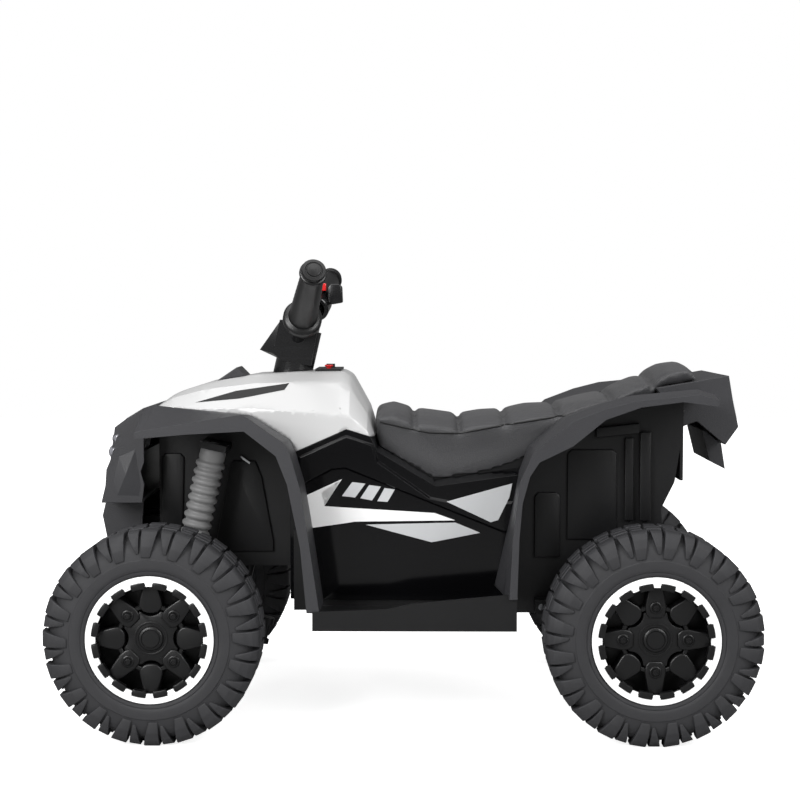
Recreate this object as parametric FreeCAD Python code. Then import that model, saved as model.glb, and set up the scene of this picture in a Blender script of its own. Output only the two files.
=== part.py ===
import FreeCAD, Part
import math
import os

from FreeCAD import Placement, Rotation, Vector

os.makedirs("parts", exist_ok=True)

# Kids quad bike in millimetres: front is -X, the rider's left is -Y, up is +Z.
# The origin is on the ground, midway between the axles, on the middle plane.

# Stance
wheelbase = 644
track = 452
tyre_radius = 140
lug_length = 21
rake_deg = 13

# Body reference sizes, which the side outlines follow
body_reach = 400
body_height = 500
body_half_width = 126

# Fits
clearance = 0.4
running_fit = 0.05
seam = 0.6
overrun = 6

# Wheels
tyre_width = 104
tyre_wall = 6
lug_count = 20
lug_depth = 11
lug_inner_gap = 7
bead_radius = 82
ring_inner_radius = 72.3
ring_tab_depth = 3.6
ring_tab_width = 9
ring_tab_count = 16
ring_thickness = 3.5
rim_wall = 4
rim_width = 96
spoke_count = 8
spoke_width = 13.5
spoke_root_width = 26
spoke_depth = 12
spoke_recess = 7
hub_radius = 35
hub_barrel_radius = 20
cap_radius = 16.4
cap_depth = 5
axle_radius = 6
axle_end_gap = 16
rear_wheel_turn_deg = 45

# Front axle, struts and steering
kingpin_trail = 12
kingpin_half_track = 138
strut_radius = 6
boss_radius = 13
boss_half_height = 18
ear_height = 10
ear_radius = 14
beam_half_width = 9
beam_half_height = 11
suspension_travel = 16
arm_length = 45
arm_half_width = 8
pin_radius = 4
tie_thickness = 7
tie_half_width = 7
column_setback = 71.5
column_radius = 8
crank_thickness = 10
boot_bottom = 33
boot_top = 238
boot_crest_radius = 20
boot_neck_radius = 16.5
boot_bore_radius = 14.5
boot_rib_count = 15
boot_collar_height = 8
spring_outer_radius = 13.5
spring_inner_radius = 8
mount_thickness = 9

# Chassis tub
ground_clearance = 150
tub_wall = 4
tub_front_gap = 172
tub_rear_gap = 164.5
tub_wall_height = 110
tower_half_width = 90
tower_lead = 16
tower_floor = 206
footboard_half_width = 228
footboard_front_gap = 204
footboard_rear_gap = 174
footboard_plate = 6
footboard_lip = 5
footboard_skirt = 8
rear_box_half_width = 138
bracket_place = 245
bracket_width = 12
bracket_height = 24

# Shell and fenders
shell_wall = 3
hood_shoulder = 56
fender_wall = 4
front_fender_half_width = 226
front_fender_inner = 86
rear_fender_half_width = 234
rear_fender_inner = 104
front_flare_width = 76
rear_flare_width = 34
belt_rise = 4
belt_chamfer = 3
bumper_half_width = 150
bumper_nose_half_width = 62
bumper_sweep = 5
bumper_wall = 4
keel_half_width = 88
lamp_inner = 92
lamp_outer = 132
lamp_depth = 7
grille_slot_height = 8
grille_slot_count = 3
grille_half_width = 54
scoop_half_width = 30
flap_half_width = 62

# Seat
seat_half_width = 100
seat_base_thickness = 6
seat_base_inset = 6
seat_crown = 14
seat_side_draw = 7
channel_depth = 5
channel_half_width = 8

# Handlebar
grip_radius = 15.5
grip_root_radius = 19.5
grip_flange_radius = 19
grip_flange_length = 6
collar_radius = 27
collar_length = 12
bar_radius = 9
bar_half_span = 205
bar_collar_place = 70
bar_sweep = 39.5
bar_rise = 101.7
bar_lead = 4
bar_seat = 25
stem_half_width = 28
stem_half_depth = 25
cover_height = 62
cover_base = 370
bar_seat_height = 14
stem_radius = 27.5
stem_drop = 26
bush_radius = 34
bush_height = 30
throttle_place = 116
throttle_length = 26
throttle_half_depth = 17
throttle_box_depth = 30
button_radius = 6
button_travel = 3
button_stem_radius = 3.5
dash_button_travel = 2
dash_cap_height = 2.5
switch_travel = 3

# Drive
gear_width = 8
gear_gap = 2
gear_backlash = 0.16
output_teeth = 64
idler_small_teeth = 14
idler_large_teeth = 50
pinion_teeth = 12
output_module = 1.5
motor_module = 1
pressure_deg = 20
addendum_share = 0.75
dedendum_share = 1.1
drive_lean_deg = 15
case_inner = 140
case_outer = 168
case_wall = 3
case_gap = 4
motor_radius = 18
motor_length = 44
motor_shaft_radius = 2
idler_pin_radius = 3
sleeve_radius = 13

# Electrics and small pieces
battery_room = 157.5
battery_width = 98
battery_height = 94
unit_length = 55
unit_width = 60
unit_height = 26
dash_half_width = 44
dash_thickness = 3
dash_depth = 12
dash_pitch = 44
socket_radius = 9
socket_bore_radius = 2.8
socket_depth = 14
socket_flange = 2
socket_place_share = 0.25
socket_height = 215
screw_head_radius = 4
screw_head_height = 2.5

# Axles and waist, as shares of body_reach
axle_place_share = 0.805
waist_share = 0.2

# Side outlines: shares of body_reach and body_height
# Fender lines at the inner edge, the crease and the outer edge, then the wheel opening
front_inner_shares = ((-0.87, 0.846), (-0.835, 0.852), (-0.60, 0.836), (-0.52, 0.826), (-0.39, 0.762),
                      (-0.372, 0.732), (-0.342, 0.652), (-0.318, 0.546), (-0.278, 0.33))
front_crease_shares = ((-0.87, 0.856), (-0.84, 0.864), (-0.60, 0.84), (-0.52, 0.838), (-0.385, 0.77),
                       (-0.366, 0.742), (-0.335, 0.658), (-0.312, 0.548), (-0.272, 0.33))
front_edge_shares = ((-0.87, 0.80), (-0.846, 0.806), (-0.602, 0.838), (-0.521, 0.848), (-0.383, 0.772),
                     (-0.3665, 0.745), (-0.335, 0.658), (-0.312, 0.548), (-0.272, 0.33))
front_arch_shares = ((-0.87, 0.784), (-0.70, 0.796), (-0.515, 0.804), (-0.412, 0.74), (-0.376, 0.666),
                     (-0.334, 0.50), (-0.314, 0.33))
rear_inner_shares = ((0.302, 0.37), (0.352, 0.528), (0.390, 0.672), (0.426, 0.748), (0.54, 0.826),
                     (0.652, 0.86), (0.75, 0.88), (0.955, 0.896), (1.015, 0.884))
rear_crease_shares = ((0.330, 0.37), (0.356, 0.528), (0.386, 0.68), (0.424, 0.76), (0.54, 0.842),
                      (0.652, 0.876), (0.75, 0.896), (0.955, 0.912), (1.015, 0.898))
rear_edge_shares = ((0.345, 0.37), (0.355, 0.528), (0.376, 0.672), (0.42, 0.75), (0.546, 0.831),
                    (0.655, 0.864), (0.752, 0.884), (0.955, 0.90), (1.015, 0.886))
rear_arch_shares = ((0.37, 0.37), (0.376, 0.528), (0.386, 0.62), (0.41, 0.69), (0.44, 0.726),
                    (0.548, 0.768), (0.652, 0.836), (0.765, 0.868), (0.90, 0.882), (1.015, 0.87))
hood_region_shares = ((-0.89, 0.80), (-0.532, 0.80), (-0.42, 0.735), (-0.385, 0.728), (-0.195, 0.796),
                      (-0.098, 0.772), (-0.098, 1.05), (-0.89, 1.05))
panel_region_shares = ((-0.387, 0.33), (-0.387, 0.726), (-0.195, 0.794), (-0.0965, 0.77),
                       (-0.0965, 1.05), (0.3925, 1.05), (0.3925, 0.33))
# Raised belt of the side panel, bounded below by its ridge
belt_shares = ((-0.357, 0.636), (-0.242, 0.684), (-0.198, 0.687), (-0.14, 0.668), (0.338, 0.514),
               (0.372, 0.514), (0.372, 0.60), (0.17, 0.60), (0.09, 0.612), (-0.085, 0.71), (-0.105, 0.756),
               (-0.195, 0.78), (-0.357, 0.722))
# Body stations: place, half width, top and shoulder drop
body_station_shares = ((-0.87, 0.68, 0.848, 0.16), (-0.805, 0.73, 0.886, 0.42), (-0.688, 0.79, 0.916, 0.6),
                       (-0.52, 0.88, 0.938, 0.78), (-0.375, 0.96, 0.946, 0.92), (-0.215, 1.0, 0.948, 1.0),
                       (-0.185, 1.0, 0.934, 0.92), (-0.125, 1.0, 0.846, 0.5), (-0.10, 1.0, 0.776, 0.2),
                       (-0.09, 1.0, 0.75, 0.14), (0.108, 1.0, 0.656, 0.14), (0.3925, 1.0, 0.688, 0.14))
hood_station_count = 6
shell_bottom_share = 0.33
shoulder_share = 0.76
crown_share = 0.42
bumper_shares = ((-0.872, 0.856), (-0.942, 0.828), (-0.982, 0.804), (-0.998, 0.716), (-1.012, 0.69),
                 (-1.016, 0.646), (-1.03, 0.60), (-0.892, 0.60), (-0.872, 0.65), (-0.896, 0.684),
                 (-0.872, 0.71))
keel_shares = ((-1.03, 0.60), (-1.045, 0.55), (-1.028, 0.48), (-0.985, 0.39), (-0.92, 0.39), (-0.90, 0.60))
lamp_height_shares = (0.705, 0.785)
grille_height_share = 0.622
tail_shares = ((0.86, 0.906), (1.108, 0.94), (1.122, 0.874), (1.142, 0.80), (1.098, 0.75), (1.0, 0.815),
               (0.95, 0.80))
flap_shares = ((1.035, 0.786), (1.062, 0.70), (1.118, 0.676), (1.098, 0.778))
scoop_shares = ((-0.69, 0.905), (-0.592, 0.958), (-0.557, 0.93), (-0.557, 0.89))
rear_plate_shares = ((0.394, 0.30), (0.52, 0.30), (0.62, 0.38), (0.74, 0.24), (0.87, 0.24), (0.88, 0.42),
                     (0.868, 0.584), (0.912, 0.656), (0.94, 0.798), (0.94, 0.88), (0.50, 0.80), (0.394, 0.68))
tower_top_shares = ((-0.845, 0.86), (-0.52, 0.84), (-0.375, 0.76))
# Seat lines from front to rear: place, top and bottom
seat_line_shares = ((-0.095, 0.844, 0.772), (-0.035, 0.853, 0.742), (0.034, 0.835, 0.706), (0.10, 0.829, 0.676),
                    (0.189, 0.819, 0.678), (0.267, 0.830, 0.696), (0.346, 0.833, 0.714), (0.428, 0.848, 0.742),
                    (0.53, 0.851, 0.79), (0.6145, 0.869, 0.83), (0.7125, 0.885, 0.862), (0.775, 0.91, 0.88),
                    (0.85, 0.933, 0.90), (0.908, 0.963, 0.912), (0.97, 0.972, 0.92), (0.99, 0.962, 0.922),
                    (1.0, 0.94, 0.924))
seat_channel_shares = (0.034, 0.189, 0.346, 0.53, 0.7125, 0.85)
dash_place_share = -0.268
dash_half_length_share = 0.045
case_nose_share = 0.44
footboard_lip_shares = ((0.37, 0.082), (0.03, 0.056), (-0.05, 0.042), (-0.295, 0.034))
bulkhead_top_share = 0.67
rear_face_share = 0.66
# Stem cover in shares of its half depth and height, starting at the tip of the beak
cover_shares = ((-2.1, 0.12), (-1.3, 0.9), (0.86, 1.0), (1.0, 0.03), (-0.72, 0.0))
beak_side_share = 0.6
beak_width_share = 0.35
stem_share = 0.8

# Worked-out places
half_base = wheelbase / 2
half_track = track / 2
axle_height = math.sqrt(tyre_radius ** 2 - (lug_length / 2) ** 2)
kingpin_x = -half_base + kingpin_trail
rake = Placement(Vector(kingpin_x, 0, axle_height), Rotation(Vector(0, 1, 0), rake_deg))
tub_front = half_base - tub_front_gap
tub_rear = half_base - tub_rear_gap
tower_front = half_base + tower_lead
footboard_front = half_base - footboard_front_gap
footboard_rear = half_base - footboard_rear_gap
battery_length = tub_front + tub_rear - battery_room


def along(share):
    """A place along the bike: each end of the body keeps to its axle, and the waist takes up the rest."""
    stretch = half_base - axle_place_share * body_reach
    return share * body_reach + max(-1, min(1, share / waist_share)) * stretch


def outline(shares):
    """A side outline in shares, as points of X and Z."""
    return [(along(x), z * body_height) for x, z in shares]


def polygon(points):
    return Part.makePolygon(points + points[:1])


def side_prism(points, y_from, y_to):
    """A prism across Y over a closed side outline."""
    face = Part.Face(polygon([Vector(x, y_from, z) for x, z in points]))
    return face.extrude(Vector(0, y_to - y_from, 0))


def block(x_range, y_range, z_range):
    size = [high - low for low, high in (x_range, y_range, z_range)]
    return Part.makeBox(size[0], size[1], size[2], Vector(x_range[0], y_range[0], z_range[0]))


def rod(start, end, radius):
    return Part.makeCylinder(radius, (end - start).Length, start, end - start)


def taper(start, end, start_radius, end_radius):
    return Part.makeCone(start_radius, end_radius, (end - start).Length, start, end - start)


def upright(x, y, low, high, radius):
    return rod(Vector(x, y, low), Vector(x, y, high), radius)


def across(x, z, y_from, y_to, radius):
    return rod(Vector(x, y_from, z), Vector(x, y_to, z), radius)


def ruled(sections):
    return Part.makeLoft([polygon(points) for points in sections], True, True)


def mirrored(shape):
    return shape.mirror(Vector(0, 0, 0), Vector(0, 1, 0))


def raked(shape):
    """A shape drawn about the kingpin line, leaned back by the rake."""
    leaned = shape.copy()
    leaned.Placement = rake.multiply(shape.Placement)
    return leaned


def largest(shape):
    return max(shape.Solids, key=lambda solid: solid.Volume)


def save(node, *shapes):
    solids = [solid for shape in shapes for solid in shape.Solids]
    whole = solids[0] if len(solids) == 1 else Part.makeCompound(solids)
    whole.exportStep("parts/" + node + ".step")


def inset_path(path, depth):
    """An open side path moved to its right-hand side, with sharp corners."""
    normals = []
    for (x0, z0), (x1, z1) in zip(path, path[1:]):
        run = math.hypot(x1 - x0, z1 - z0)
        normals.append(((z1 - z0) / run, (x0 - x1) / run))
    normals = normals[:1] + normals + normals[-1:]
    moved = []
    for (x, z), before, after in zip(path, normals, normals[1:]):
        reach = depth / (1 + before[0] * after[0] + before[1] * after[1])
        moved.append((x + reach * (before[0] + after[0]), z + reach * (before[1] + after[1])))
    return moved


def inset_loop(points, depth):
    """A closed side outline drawn in by a depth all round."""
    loop = points[-1:] + points + points[:1]
    doubled = sum(x0 * z1 - x1 * z0 for (x0, z0), (x1, z1) in zip(loop[1:], loop[2:]))
    turn = -1 if doubled > 0 else 1
    return inset_path(loop, turn * depth)[1:-1]


def band(path, wall, y):
    """Closed section of a skin whose outer line is the path."""
    closed = path + inset_path(path, wall)[::-1]
    return [Vector(x, y, z) for x, z in closed]


# Wheels, drawn about +Z with the outer face upwards and then laid on their side

def revolved(profile):
    """A turned solid from points of radius and height."""
    face = Part.Face(polygon([Vector(radius, 0, height) for radius, height in profile]))
    return face.revolve(Vector(0, 0, 0), Vector(0, 0, 1), 360)


def tyre_shape():
    half = tyre_width / 2
    tread = tyre_radius - lug_depth
    shoulder = half - lug_depth / 2
    bead = bead_radius + clearance
    bead_half = rim_width / 2 - tyre_wall
    waist = (bead + tread) / 2
    outer = [(bead, bead_half), (bead, half - tyre_wall / 2), (waist, half),
             (tread - lug_depth, half - clearance), (tread, shoulder - lug_depth)]
    inner = [(tread - tyre_wall, shoulder - lug_depth - tyre_wall), (waist, half - tyre_wall)]
    profile = outer + [(r, -h) for r, h in outer[::-1]] + [(r, -h) for r, h in inner[::-1]] + inner
    carcass = revolved(profile)
    lugs = []
    for number in range(lug_count):
        for side in (1, -1):
            for row in (0, 1):
                lugs.append(lug_shape(number + row / 2, side, row))
    return carcass.fuse(lugs)


def lug_shape(place, side, row):
    """One tread block; row 0 reaches down the shoulder, row 1 stays on the crown."""
    half = tyre_width / 2
    top = axle_height
    tread = tyre_radius - lug_depth - tyre_wall / 2
    if row == 0:
        side_root = tread - 2 * lug_depth
        points = [(top, half / 2), (top, half - lug_depth), (tread - lug_depth, half), (side_root, half),
                  (side_root, half - tyre_wall / 2), (tread, half / 2)]
    else:
        points = [(top, lug_inner_gap / 2), (top, half / 2 - lug_inner_gap / 2),
                  (tread, half / 2 - lug_inner_gap / 2), (tread, lug_inner_gap / 2)]
    corners = [Vector(radius, -lug_length / 2, side * height) for radius, height in points]
    lug = Part.Face(polygon(corners)).extrude(Vector(0, lug_length, 0))
    lug.rotate(Vector(0, 0, 0), Vector(0, 0, 1), place * 360 / lug_count - 90)
    return lug


def rim_shape():
    half = rim_width / 2
    face = half - spoke_recess
    back = face - spoke_depth
    inner = bead_radius - rim_wall
    barrel = revolved([(bead_radius, -half), (bead_radius, half), (ring_inner_radius - ring_tab_depth, half),
                       (ring_inner_radius - ring_tab_depth, half - rim_wall), (inner, back), (inner, -half)])
    hub = revolved([(0, -half), (hub_barrel_radius, -half), (hub_barrel_radius, back), (hub_radius, back),
                    (hub_radius, face - rim_wall / 2), (hub_radius - rim_wall / 2, face), (cap_radius, face),
                    (cap_radius, face + cap_depth / 2), (cap_radius - cap_depth / 2, face + cap_depth),
                    (0, face + cap_depth)])
    spokes = []
    for number in range(spoke_count):
        root = hub_radius - rim_wall
        tip = inner + rim_wall / 2
        plan = [Vector(root, -spoke_root_width / 2, back), Vector(tip, -spoke_width / 2, back),
                Vector(tip, spoke_width / 2, back), Vector(root, spoke_root_width / 2, back)]
        spoke = Part.Face(polygon(plan)).extrude(Vector(0, 0, spoke_depth))
        spoke.rotate(Vector(0, 0, 0), Vector(0, 0, 1), number * 360 / spoke_count)
        spokes.append(spoke)
    bore = rod(Vector(0, 0, -half - overrun), Vector(0, 0, half - axle_end_gap), axle_radius + running_fit)
    return barrel.fuse([hub] + spokes).removeSplitter().cut(bore)


def ring_shape():
    half = rim_width / 2
    ring = revolved([(bead_radius, half), (bead_radius, half + ring_thickness),
                     (ring_inner_radius, half + ring_thickness), (ring_inner_radius, half)])
    tabs = []
    for number in range(ring_tab_count):
        low = Vector(ring_inner_radius - ring_tab_depth, -ring_tab_width / 2, half)
        tab = Part.makeBox(2 * ring_tab_depth, ring_tab_width, ring_thickness, low)
        tab.rotate(Vector(0, 0, 0), Vector(0, 0, 1), number * 360 / ring_tab_count)
        tabs.append(tab)
    return ring.fuse(tabs).removeSplitter()


wheel_pieces = {"tyre": tyre_shape(), "rim": rim_shape(), "rim_ring": ring_shape()}


def wheel_piece(piece, x, turn_deg):
    """A piece of a left wheel at its place."""
    placed = wheel_pieces[piece].copy()
    placed.rotate(Vector(0, 0, 0), Vector(0, 0, 1), turn_deg)
    placed.rotate(Vector(0, 0, 0), Vector(1, 0, 0), 90)
    placed.translate(Vector(x, -half_track, axle_height))
    return placed


for end, x, turn_deg in (("front", -half_base, 0), ("rear", half_base, rear_wheel_turn_deg)):
    for piece in wheel_pieces:
        left = wheel_piece(piece, x, turn_deg)
        save("left_" + end + "_" + piece, left)
        save("right_" + end + "_" + piece, mirrored(left))


# Front axle, knuckles and steering, drawn about the kingpin line

ear_low = boss_half_height + clearance
ear_high = ear_low + ear_height
arm_top = -ear_low
arm_bottom = -ear_high
tie_top = arm_bottom - clearance
tie_bottom = tie_top - tie_thickness
crank_top = tie_top + suspension_travel + crank_thickness + 2 * clearance + crank_thickness / 2
crank_bottom = crank_top - crank_thickness
pin_end = tie_bottom - clearance
wheel_lift = -kingpin_trail * math.sin(math.radians(rake_deg))
wheel_ahead = -kingpin_trail * math.cos(math.radians(rake_deg))


def axle_beam():
    boss = upright(0, -kingpin_half_track, -boss_half_height, boss_half_height, boss_radius)
    beam = block((-beam_half_width, beam_half_width), (-kingpin_half_track, kingpin_half_track),
                 (-beam_half_height, beam_half_height))
    hole = upright(0, -kingpin_half_track, -boss_half_height - overrun, boss_half_height + overrun,
                   strut_radius + running_fit)
    return beam.fuse([boss, mirrored(boss)]).removeSplitter().cut([hole, mirrored(hole)])


def left_knuckle():
    y = -kingpin_half_track
    web_inner = y - boss_radius - clearance
    web_outer = web_inner - ear_height
    ears = []
    for low in (ear_low, -ear_high):
        ears.append(upright(0, y, low, low + ear_height, ear_radius))
        ears.append(block((-ear_radius, ear_radius), (web_outer, y), (low, low + ear_height)))
    web = block((-ear_radius, ear_radius), (web_outer, web_inner), (-ear_high, ear_high))
    arm = block((0, arm_length), (y - arm_half_width, y + arm_half_width), (arm_bottom, arm_top))
    arm_end = upright(arm_length, y, arm_bottom, arm_top, arm_half_width)
    pin = upright(arm_length, y, pin_end, arm_top, pin_radius)
    stub_end = -half_track - rim_width / 2 + axle_end_gap + clearance
    stub = across(wheel_ahead, wheel_lift, web_inner, stub_end, axle_radius)
    shoulder = across(wheel_ahead, wheel_lift, web_outer, -half_track + rim_width / 2 + clearance,
                      hub_barrel_radius - rim_wall)
    hole = upright(0, y, -ear_high - overrun, ear_high + overrun, strut_radius + running_fit)
    return web.fuse(ears + [arm, arm_end, pin, stub, shoulder]).removeSplitter().cut(hole)


def tie_rod():
    """Plate from one knuckle arm to the other, with a tongue back to the crank pin."""
    span = kingpin_half_track
    tongue_end = column_setback + arm_length
    bar = block((arm_length - tie_half_width, arm_length + tie_half_width), (-span, span),
                (tie_bottom, tie_top))
    tongue = block((arm_length, tongue_end), (-tie_half_width, tie_half_width), (tie_bottom, tie_top))
    ends = [upright(arm_length, -span, tie_bottom, tie_top, tie_half_width),
            upright(arm_length, span, tie_bottom, tie_top, tie_half_width),
            upright(tongue_end, 0, tie_bottom, tie_top, tie_half_width)]
    holes = []
    for x, y in ((arm_length, -span), (arm_length, span), (tongue_end, 0)):
        holes.append(upright(x, y, tie_bottom - overrun, tie_top + overrun, pin_radius + running_fit))
    return bar.fuse([tongue] + ends).removeSplitter().cut(holes)


def strut_top():
    return boot_top + mount_thickness


def strut_rod():
    return upright(0, -kingpin_half_track, -ear_high - clearance, strut_top(), strut_radius)


def shock_boot():
    """Ribbed boot: four circles to each rib, with a plain collar on top."""
    ribs_top = boot_top - boot_collar_height
    pitch = (ribs_top - boot_bottom) / boot_rib_count
    stations = []
    for rib in range(boot_rib_count):
        low = boot_bottom + rib * pitch
        stations += [(low, boot_neck_radius), (low + pitch / 4, boot_neck_radius),
                     (low + pitch / 2, boot_crest_radius), (low + 3 * pitch / 4, boot_crest_radius)]
    stations += [(ribs_top, boot_neck_radius), (boot_top, boot_neck_radius)]
    circles = []
    for height, radius in stations:
        centre = Vector(0, -kingpin_half_track, height)
        circles.append(Part.Wire(Part.makeCircle(radius, centre, Vector(0, 0, 1))))
    bore = upright(0, -kingpin_half_track, boot_bottom - overrun, boot_top + overrun, boot_bore_radius)
    return Part.makeLoft(circles, True, True).cut(bore)


def strut_spring():
    low = ear_high + clearance
    sleeve = upright(0, -kingpin_half_track, low, boot_top, spring_outer_radius)
    return sleeve.cut(upright(0, -kingpin_half_track, low - overrun, boot_top + overrun, spring_inner_radius))


knuckle = raked(left_knuckle())
boot = raked(shock_boot())
spring = raked(strut_spring())
strut = raked(strut_rod())
save("front_axle_beam", raked(axle_beam()))
save("left_knuckle", knuckle)
save("right_knuckle", mirrored(knuckle))
save("tie_rod", raked(tie_rod()))
save("shock_boots", boot, mirrored(boot))
save("strut_springs", spring, mirrored(spring))
save("strut_rods", strut, mirrored(strut))


# Body shell, cut into the hood and the two side panels

def body_solid(wall, bottom):
    """The outer body, drawn in by a wall on its sides and top."""
    sections = []
    for place, width, top, drop in body_station_shares:
        x = along(place)
        half = width * body_half_width - wall
        high = top * body_height - wall
        fall = drop * hood_shoulder
        right = [(half, bottom), (half, high - fall), (shoulder_share * half, high - fall / 4),
                 (crown_share * half, high)]
        ring = right + [(-y, z) for y, z in right[::-1]]
        sections.append([Vector(x, y, z) for y, z in ring])
    return ruled(sections)


shell_bottom = shell_bottom_share * body_height
body_outer = body_solid(0, shell_bottom)
body_room = body_solid(shell_wall, shell_bottom - overrun)
body_shell = body_outer.cut(body_room)
hood_region = side_prism(outline(hood_region_shares), -body_half_width - overrun, body_half_width + overrun)
panel_region = side_prism(outline(panel_region_shares), -body_half_width - overrun, -seam / 2)


def belt_shape():
    """Raised belt along the left side panel, chamfered towards its face."""
    path = outline(belt_shares)
    levels = [(path, body_half_width - shell_wall), (path, body_half_width),
              (inset_loop(path, belt_chamfer), body_half_width + belt_rise)]
    return ruled([[Vector(x, -y, z) for x, z in points] for points, y in levels])


belt = belt_shape()
left_panel = largest(body_shell.common(panel_region).fuse(belt).removeSplitter())


# Fenders

def fender_shape(line_shares, arch_shares, inner, flare_width, half_width):
    """A skin from its inner edge over a crease to a flared edge, with a side lip round the arch."""
    lines = [outline(shares) for shares in line_shares]
    widths = (inner, half_width - flare_width, half_width)
    skin = ruled([band(line, fender_wall, -y) for line, y in zip(lines, widths)])
    lip = side_prism(lines[-1] + outline(arch_shares)[::-1], -half_width, -half_width + fender_wall)
    return skin.fuse(lip).removeSplitter()


front_lines = (front_inner_shares, front_crease_shares, front_edge_shares)
rear_lines = (rear_inner_shares, rear_crease_shares, rear_edge_shares)
front_fender = fender_shape(front_lines, front_arch_shares, front_fender_inner, front_flare_width,
                            front_fender_half_width)
rear_fender = fender_shape(rear_lines, rear_arch_shares, rear_fender_inner, rear_flare_width,
                           rear_fender_half_width)
panel_body = body_outer.common(side_prism(outline(panel_region_shares), -body_half_width - overrun,
                                          body_half_width + overrun))
front_fender = largest(front_fender.cut([panel_body, belt]))
rear_fender = largest(rear_fender.cut([panel_body, belt]))
front_fenders = [front_fender, mirrored(front_fender)]
rear_fenders = [rear_fender, mirrored(rear_fender)]
hood = largest(body_shell.common(hood_region).cut(front_fenders))
save("left_front_fender", front_fender)
save("right_front_fender", front_fenders[1])
save("left_rear_fender", rear_fender)
save("right_rear_fender", rear_fenders[1])


# Nose: bumper, keel, lamps and grille

def nose_solid(wall):
    """Bumper form, swept back towards its ends and drawn in by a wall."""
    path = outline(bumper_shares)
    drawn = inset_loop(path, wall)
    back = path[0][0] - wall
    sections = []
    for y, sweep in ((-bumper_half_width + wall, bumper_sweep), (-bumper_nose_half_width, 0),
                     (bumper_nose_half_width, 0), (bumper_half_width - wall, bumper_sweep)):
        sections.append([Vector(min(x + sweep, back), y, z) for x, z in drawn])
    return ruled(sections)


def shifted(shape, x=0, y=0, z=0):
    moved = shape.copy()
    moved.translate(Vector(x, y, z))
    return moved


nose = nose_solid(0)
nose_room = nose_solid(bumper_wall)
keel = side_prism(outline(keel_shares), -keel_half_width, keel_half_width)
keel_room = side_prism(inset_loop(outline(keel_shares), bumper_wall), -keel_half_width + bumper_wall,
                       keel_half_width - bumper_wall)
back_open = bumper_wall + overrun
bumper = nose.fuse(keel).removeSplitter()
bumper = bumper.cut([nose_room, shifted(nose_room, back_open), keel_room, shifted(keel_room, back_open)])
lamp_low, lamp_high = [share * body_height for share in lamp_height_shares]
lamp_skin = nose.cut(shifted(nose, lamp_depth))
lamp_window = block((-2 * body_reach, 0), (-lamp_outer, -lamp_inner), (lamp_low, lamp_high))
left_lamp = largest(lamp_skin.common(lamp_window))
slots = []
for number in range(grille_slot_count):
    low = grille_height_share * body_height + 2 * number * grille_slot_height
    slots.append(block((-2 * body_reach, along(-1) + overrun), (-grille_half_width, grille_half_width),
                       (low, low + grille_slot_height)))
bumper = largest(bumper.cut([left_lamp, mirrored(left_lamp)] + slots))
save("front_bumper", bumper)
save("headlight_lenses", left_lamp, mirrored(left_lamp))


# Tail panel and mud flap

tail_path = outline(tail_shares)
tail_solid = side_prism(tail_path, -rear_fender_inner, rear_fender_inner)
tail_room = side_prism(inset_loop(tail_path, fender_wall), -rear_fender_inner + fender_wall,
                       rear_fender_inner - fender_wall)
tail_open = fender_wall + overrun
tail_panel = largest(tail_solid.cut([tail_room, shifted(tail_room, -tail_open, 0, -tail_open)]))
flap = largest(side_prism(outline(flap_shares), -flap_half_width, flap_half_width).cut(tail_solid))
save("tail_panel", tail_panel)
save("rear_mud_flap", flap)


# Steering column, its bush, the stem cover and the handlebar

column_top = cover_base + bar_seat_height
column = raked(upright(column_setback, 0, crank_bottom, column_top, column_radius))
crank_end = column_setback + arm_length
crank = block((column_setback, crank_end), (-arm_half_width, arm_half_width), (crank_bottom, crank_top))
crank_round = upright(crank_end, 0, crank_bottom, crank_top, arm_half_width)
crank_pin = upright(crank_end, 0, pin_end, crank_top, pin_radius)
crank_arm = raked(crank.fuse([crank_round, crank_pin]))
column = column.fuse(crank_arm).removeSplitter()
stem_low = cover_base - stem_drop
stem_high = cover_base + stem_share * cover_height
bush_low = stem_low - bush_height
bush = raked(upright(column_setback, 0, bush_low, cover_base, bush_radius)).common(body_room)
column_room = raked(upright(column_setback, 0, crank_bottom, column_top, column_radius + running_fit))
stem_room = raked(upright(column_setback, 0, stem_low - clearance, stem_high, stem_radius + clearance))
bush = largest(bush.cut([column_room, stem_room]))
stem = raked(upright(column_setback, 0, stem_low, stem_high, stem_radius))
save("steering_column", column)
save("steering_bush", bush)

bar_middle = rake.multVec(Vector(column_setback - bar_lead, 0, cover_base + bar_seat))
bar_reach = Vector(bar_sweep, -bar_half_span, bar_rise)


def bar_point(y):
    """The point of the left handlebar's axis at a width."""
    return bar_middle + bar_reach * (y / bar_reach.y)


def bar_rod(y_from, y_to, radius):
    return rod(bar_point(y_from), bar_point(y_to), radius)


left_bar = bar_rod(0, -bar_half_span, bar_radius)
bar = left_bar.fuse(mirrored(left_bar)).removeSplitter()


def stem_cover():
    """Cover over the stem whose middle runs forward into a beak."""
    sections = []
    for side, reach in ((-1, beak_side_share), (-beak_width_share, 1),
                        (beak_width_share, 1), (1, beak_side_share)):
        ring = []
        for number, (depth, height) in enumerate(cover_shares):
            ahead = depth * reach if number == 0 else depth
            ring.append(Vector(column_setback + ahead * stem_half_depth, side * stem_half_width,
                               cover_base + height * cover_height))
        sections.append(ring)
    return raked(ruled(sections)).fuse(stem).removeSplitter()


cover = largest(stem_cover().cut([bar, column]))


def grip(y_from, y_to, collar_from):
    """A grip with a flange at its end, and a collar on the bar inboard of it."""
    body = taper(bar_point(y_from), bar_point(y_to), grip_root_radius, grip_radius)
    flange = bar_rod(y_to + grip_flange_length, y_to, grip_flange_radius)
    pieces = [flange]
    if collar_from is not None:
        pieces.append(bar_rod(collar_from, y_from - overrun, collar_radius))
    return body.fuse(pieces).removeSplitter().cut(bar)


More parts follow.
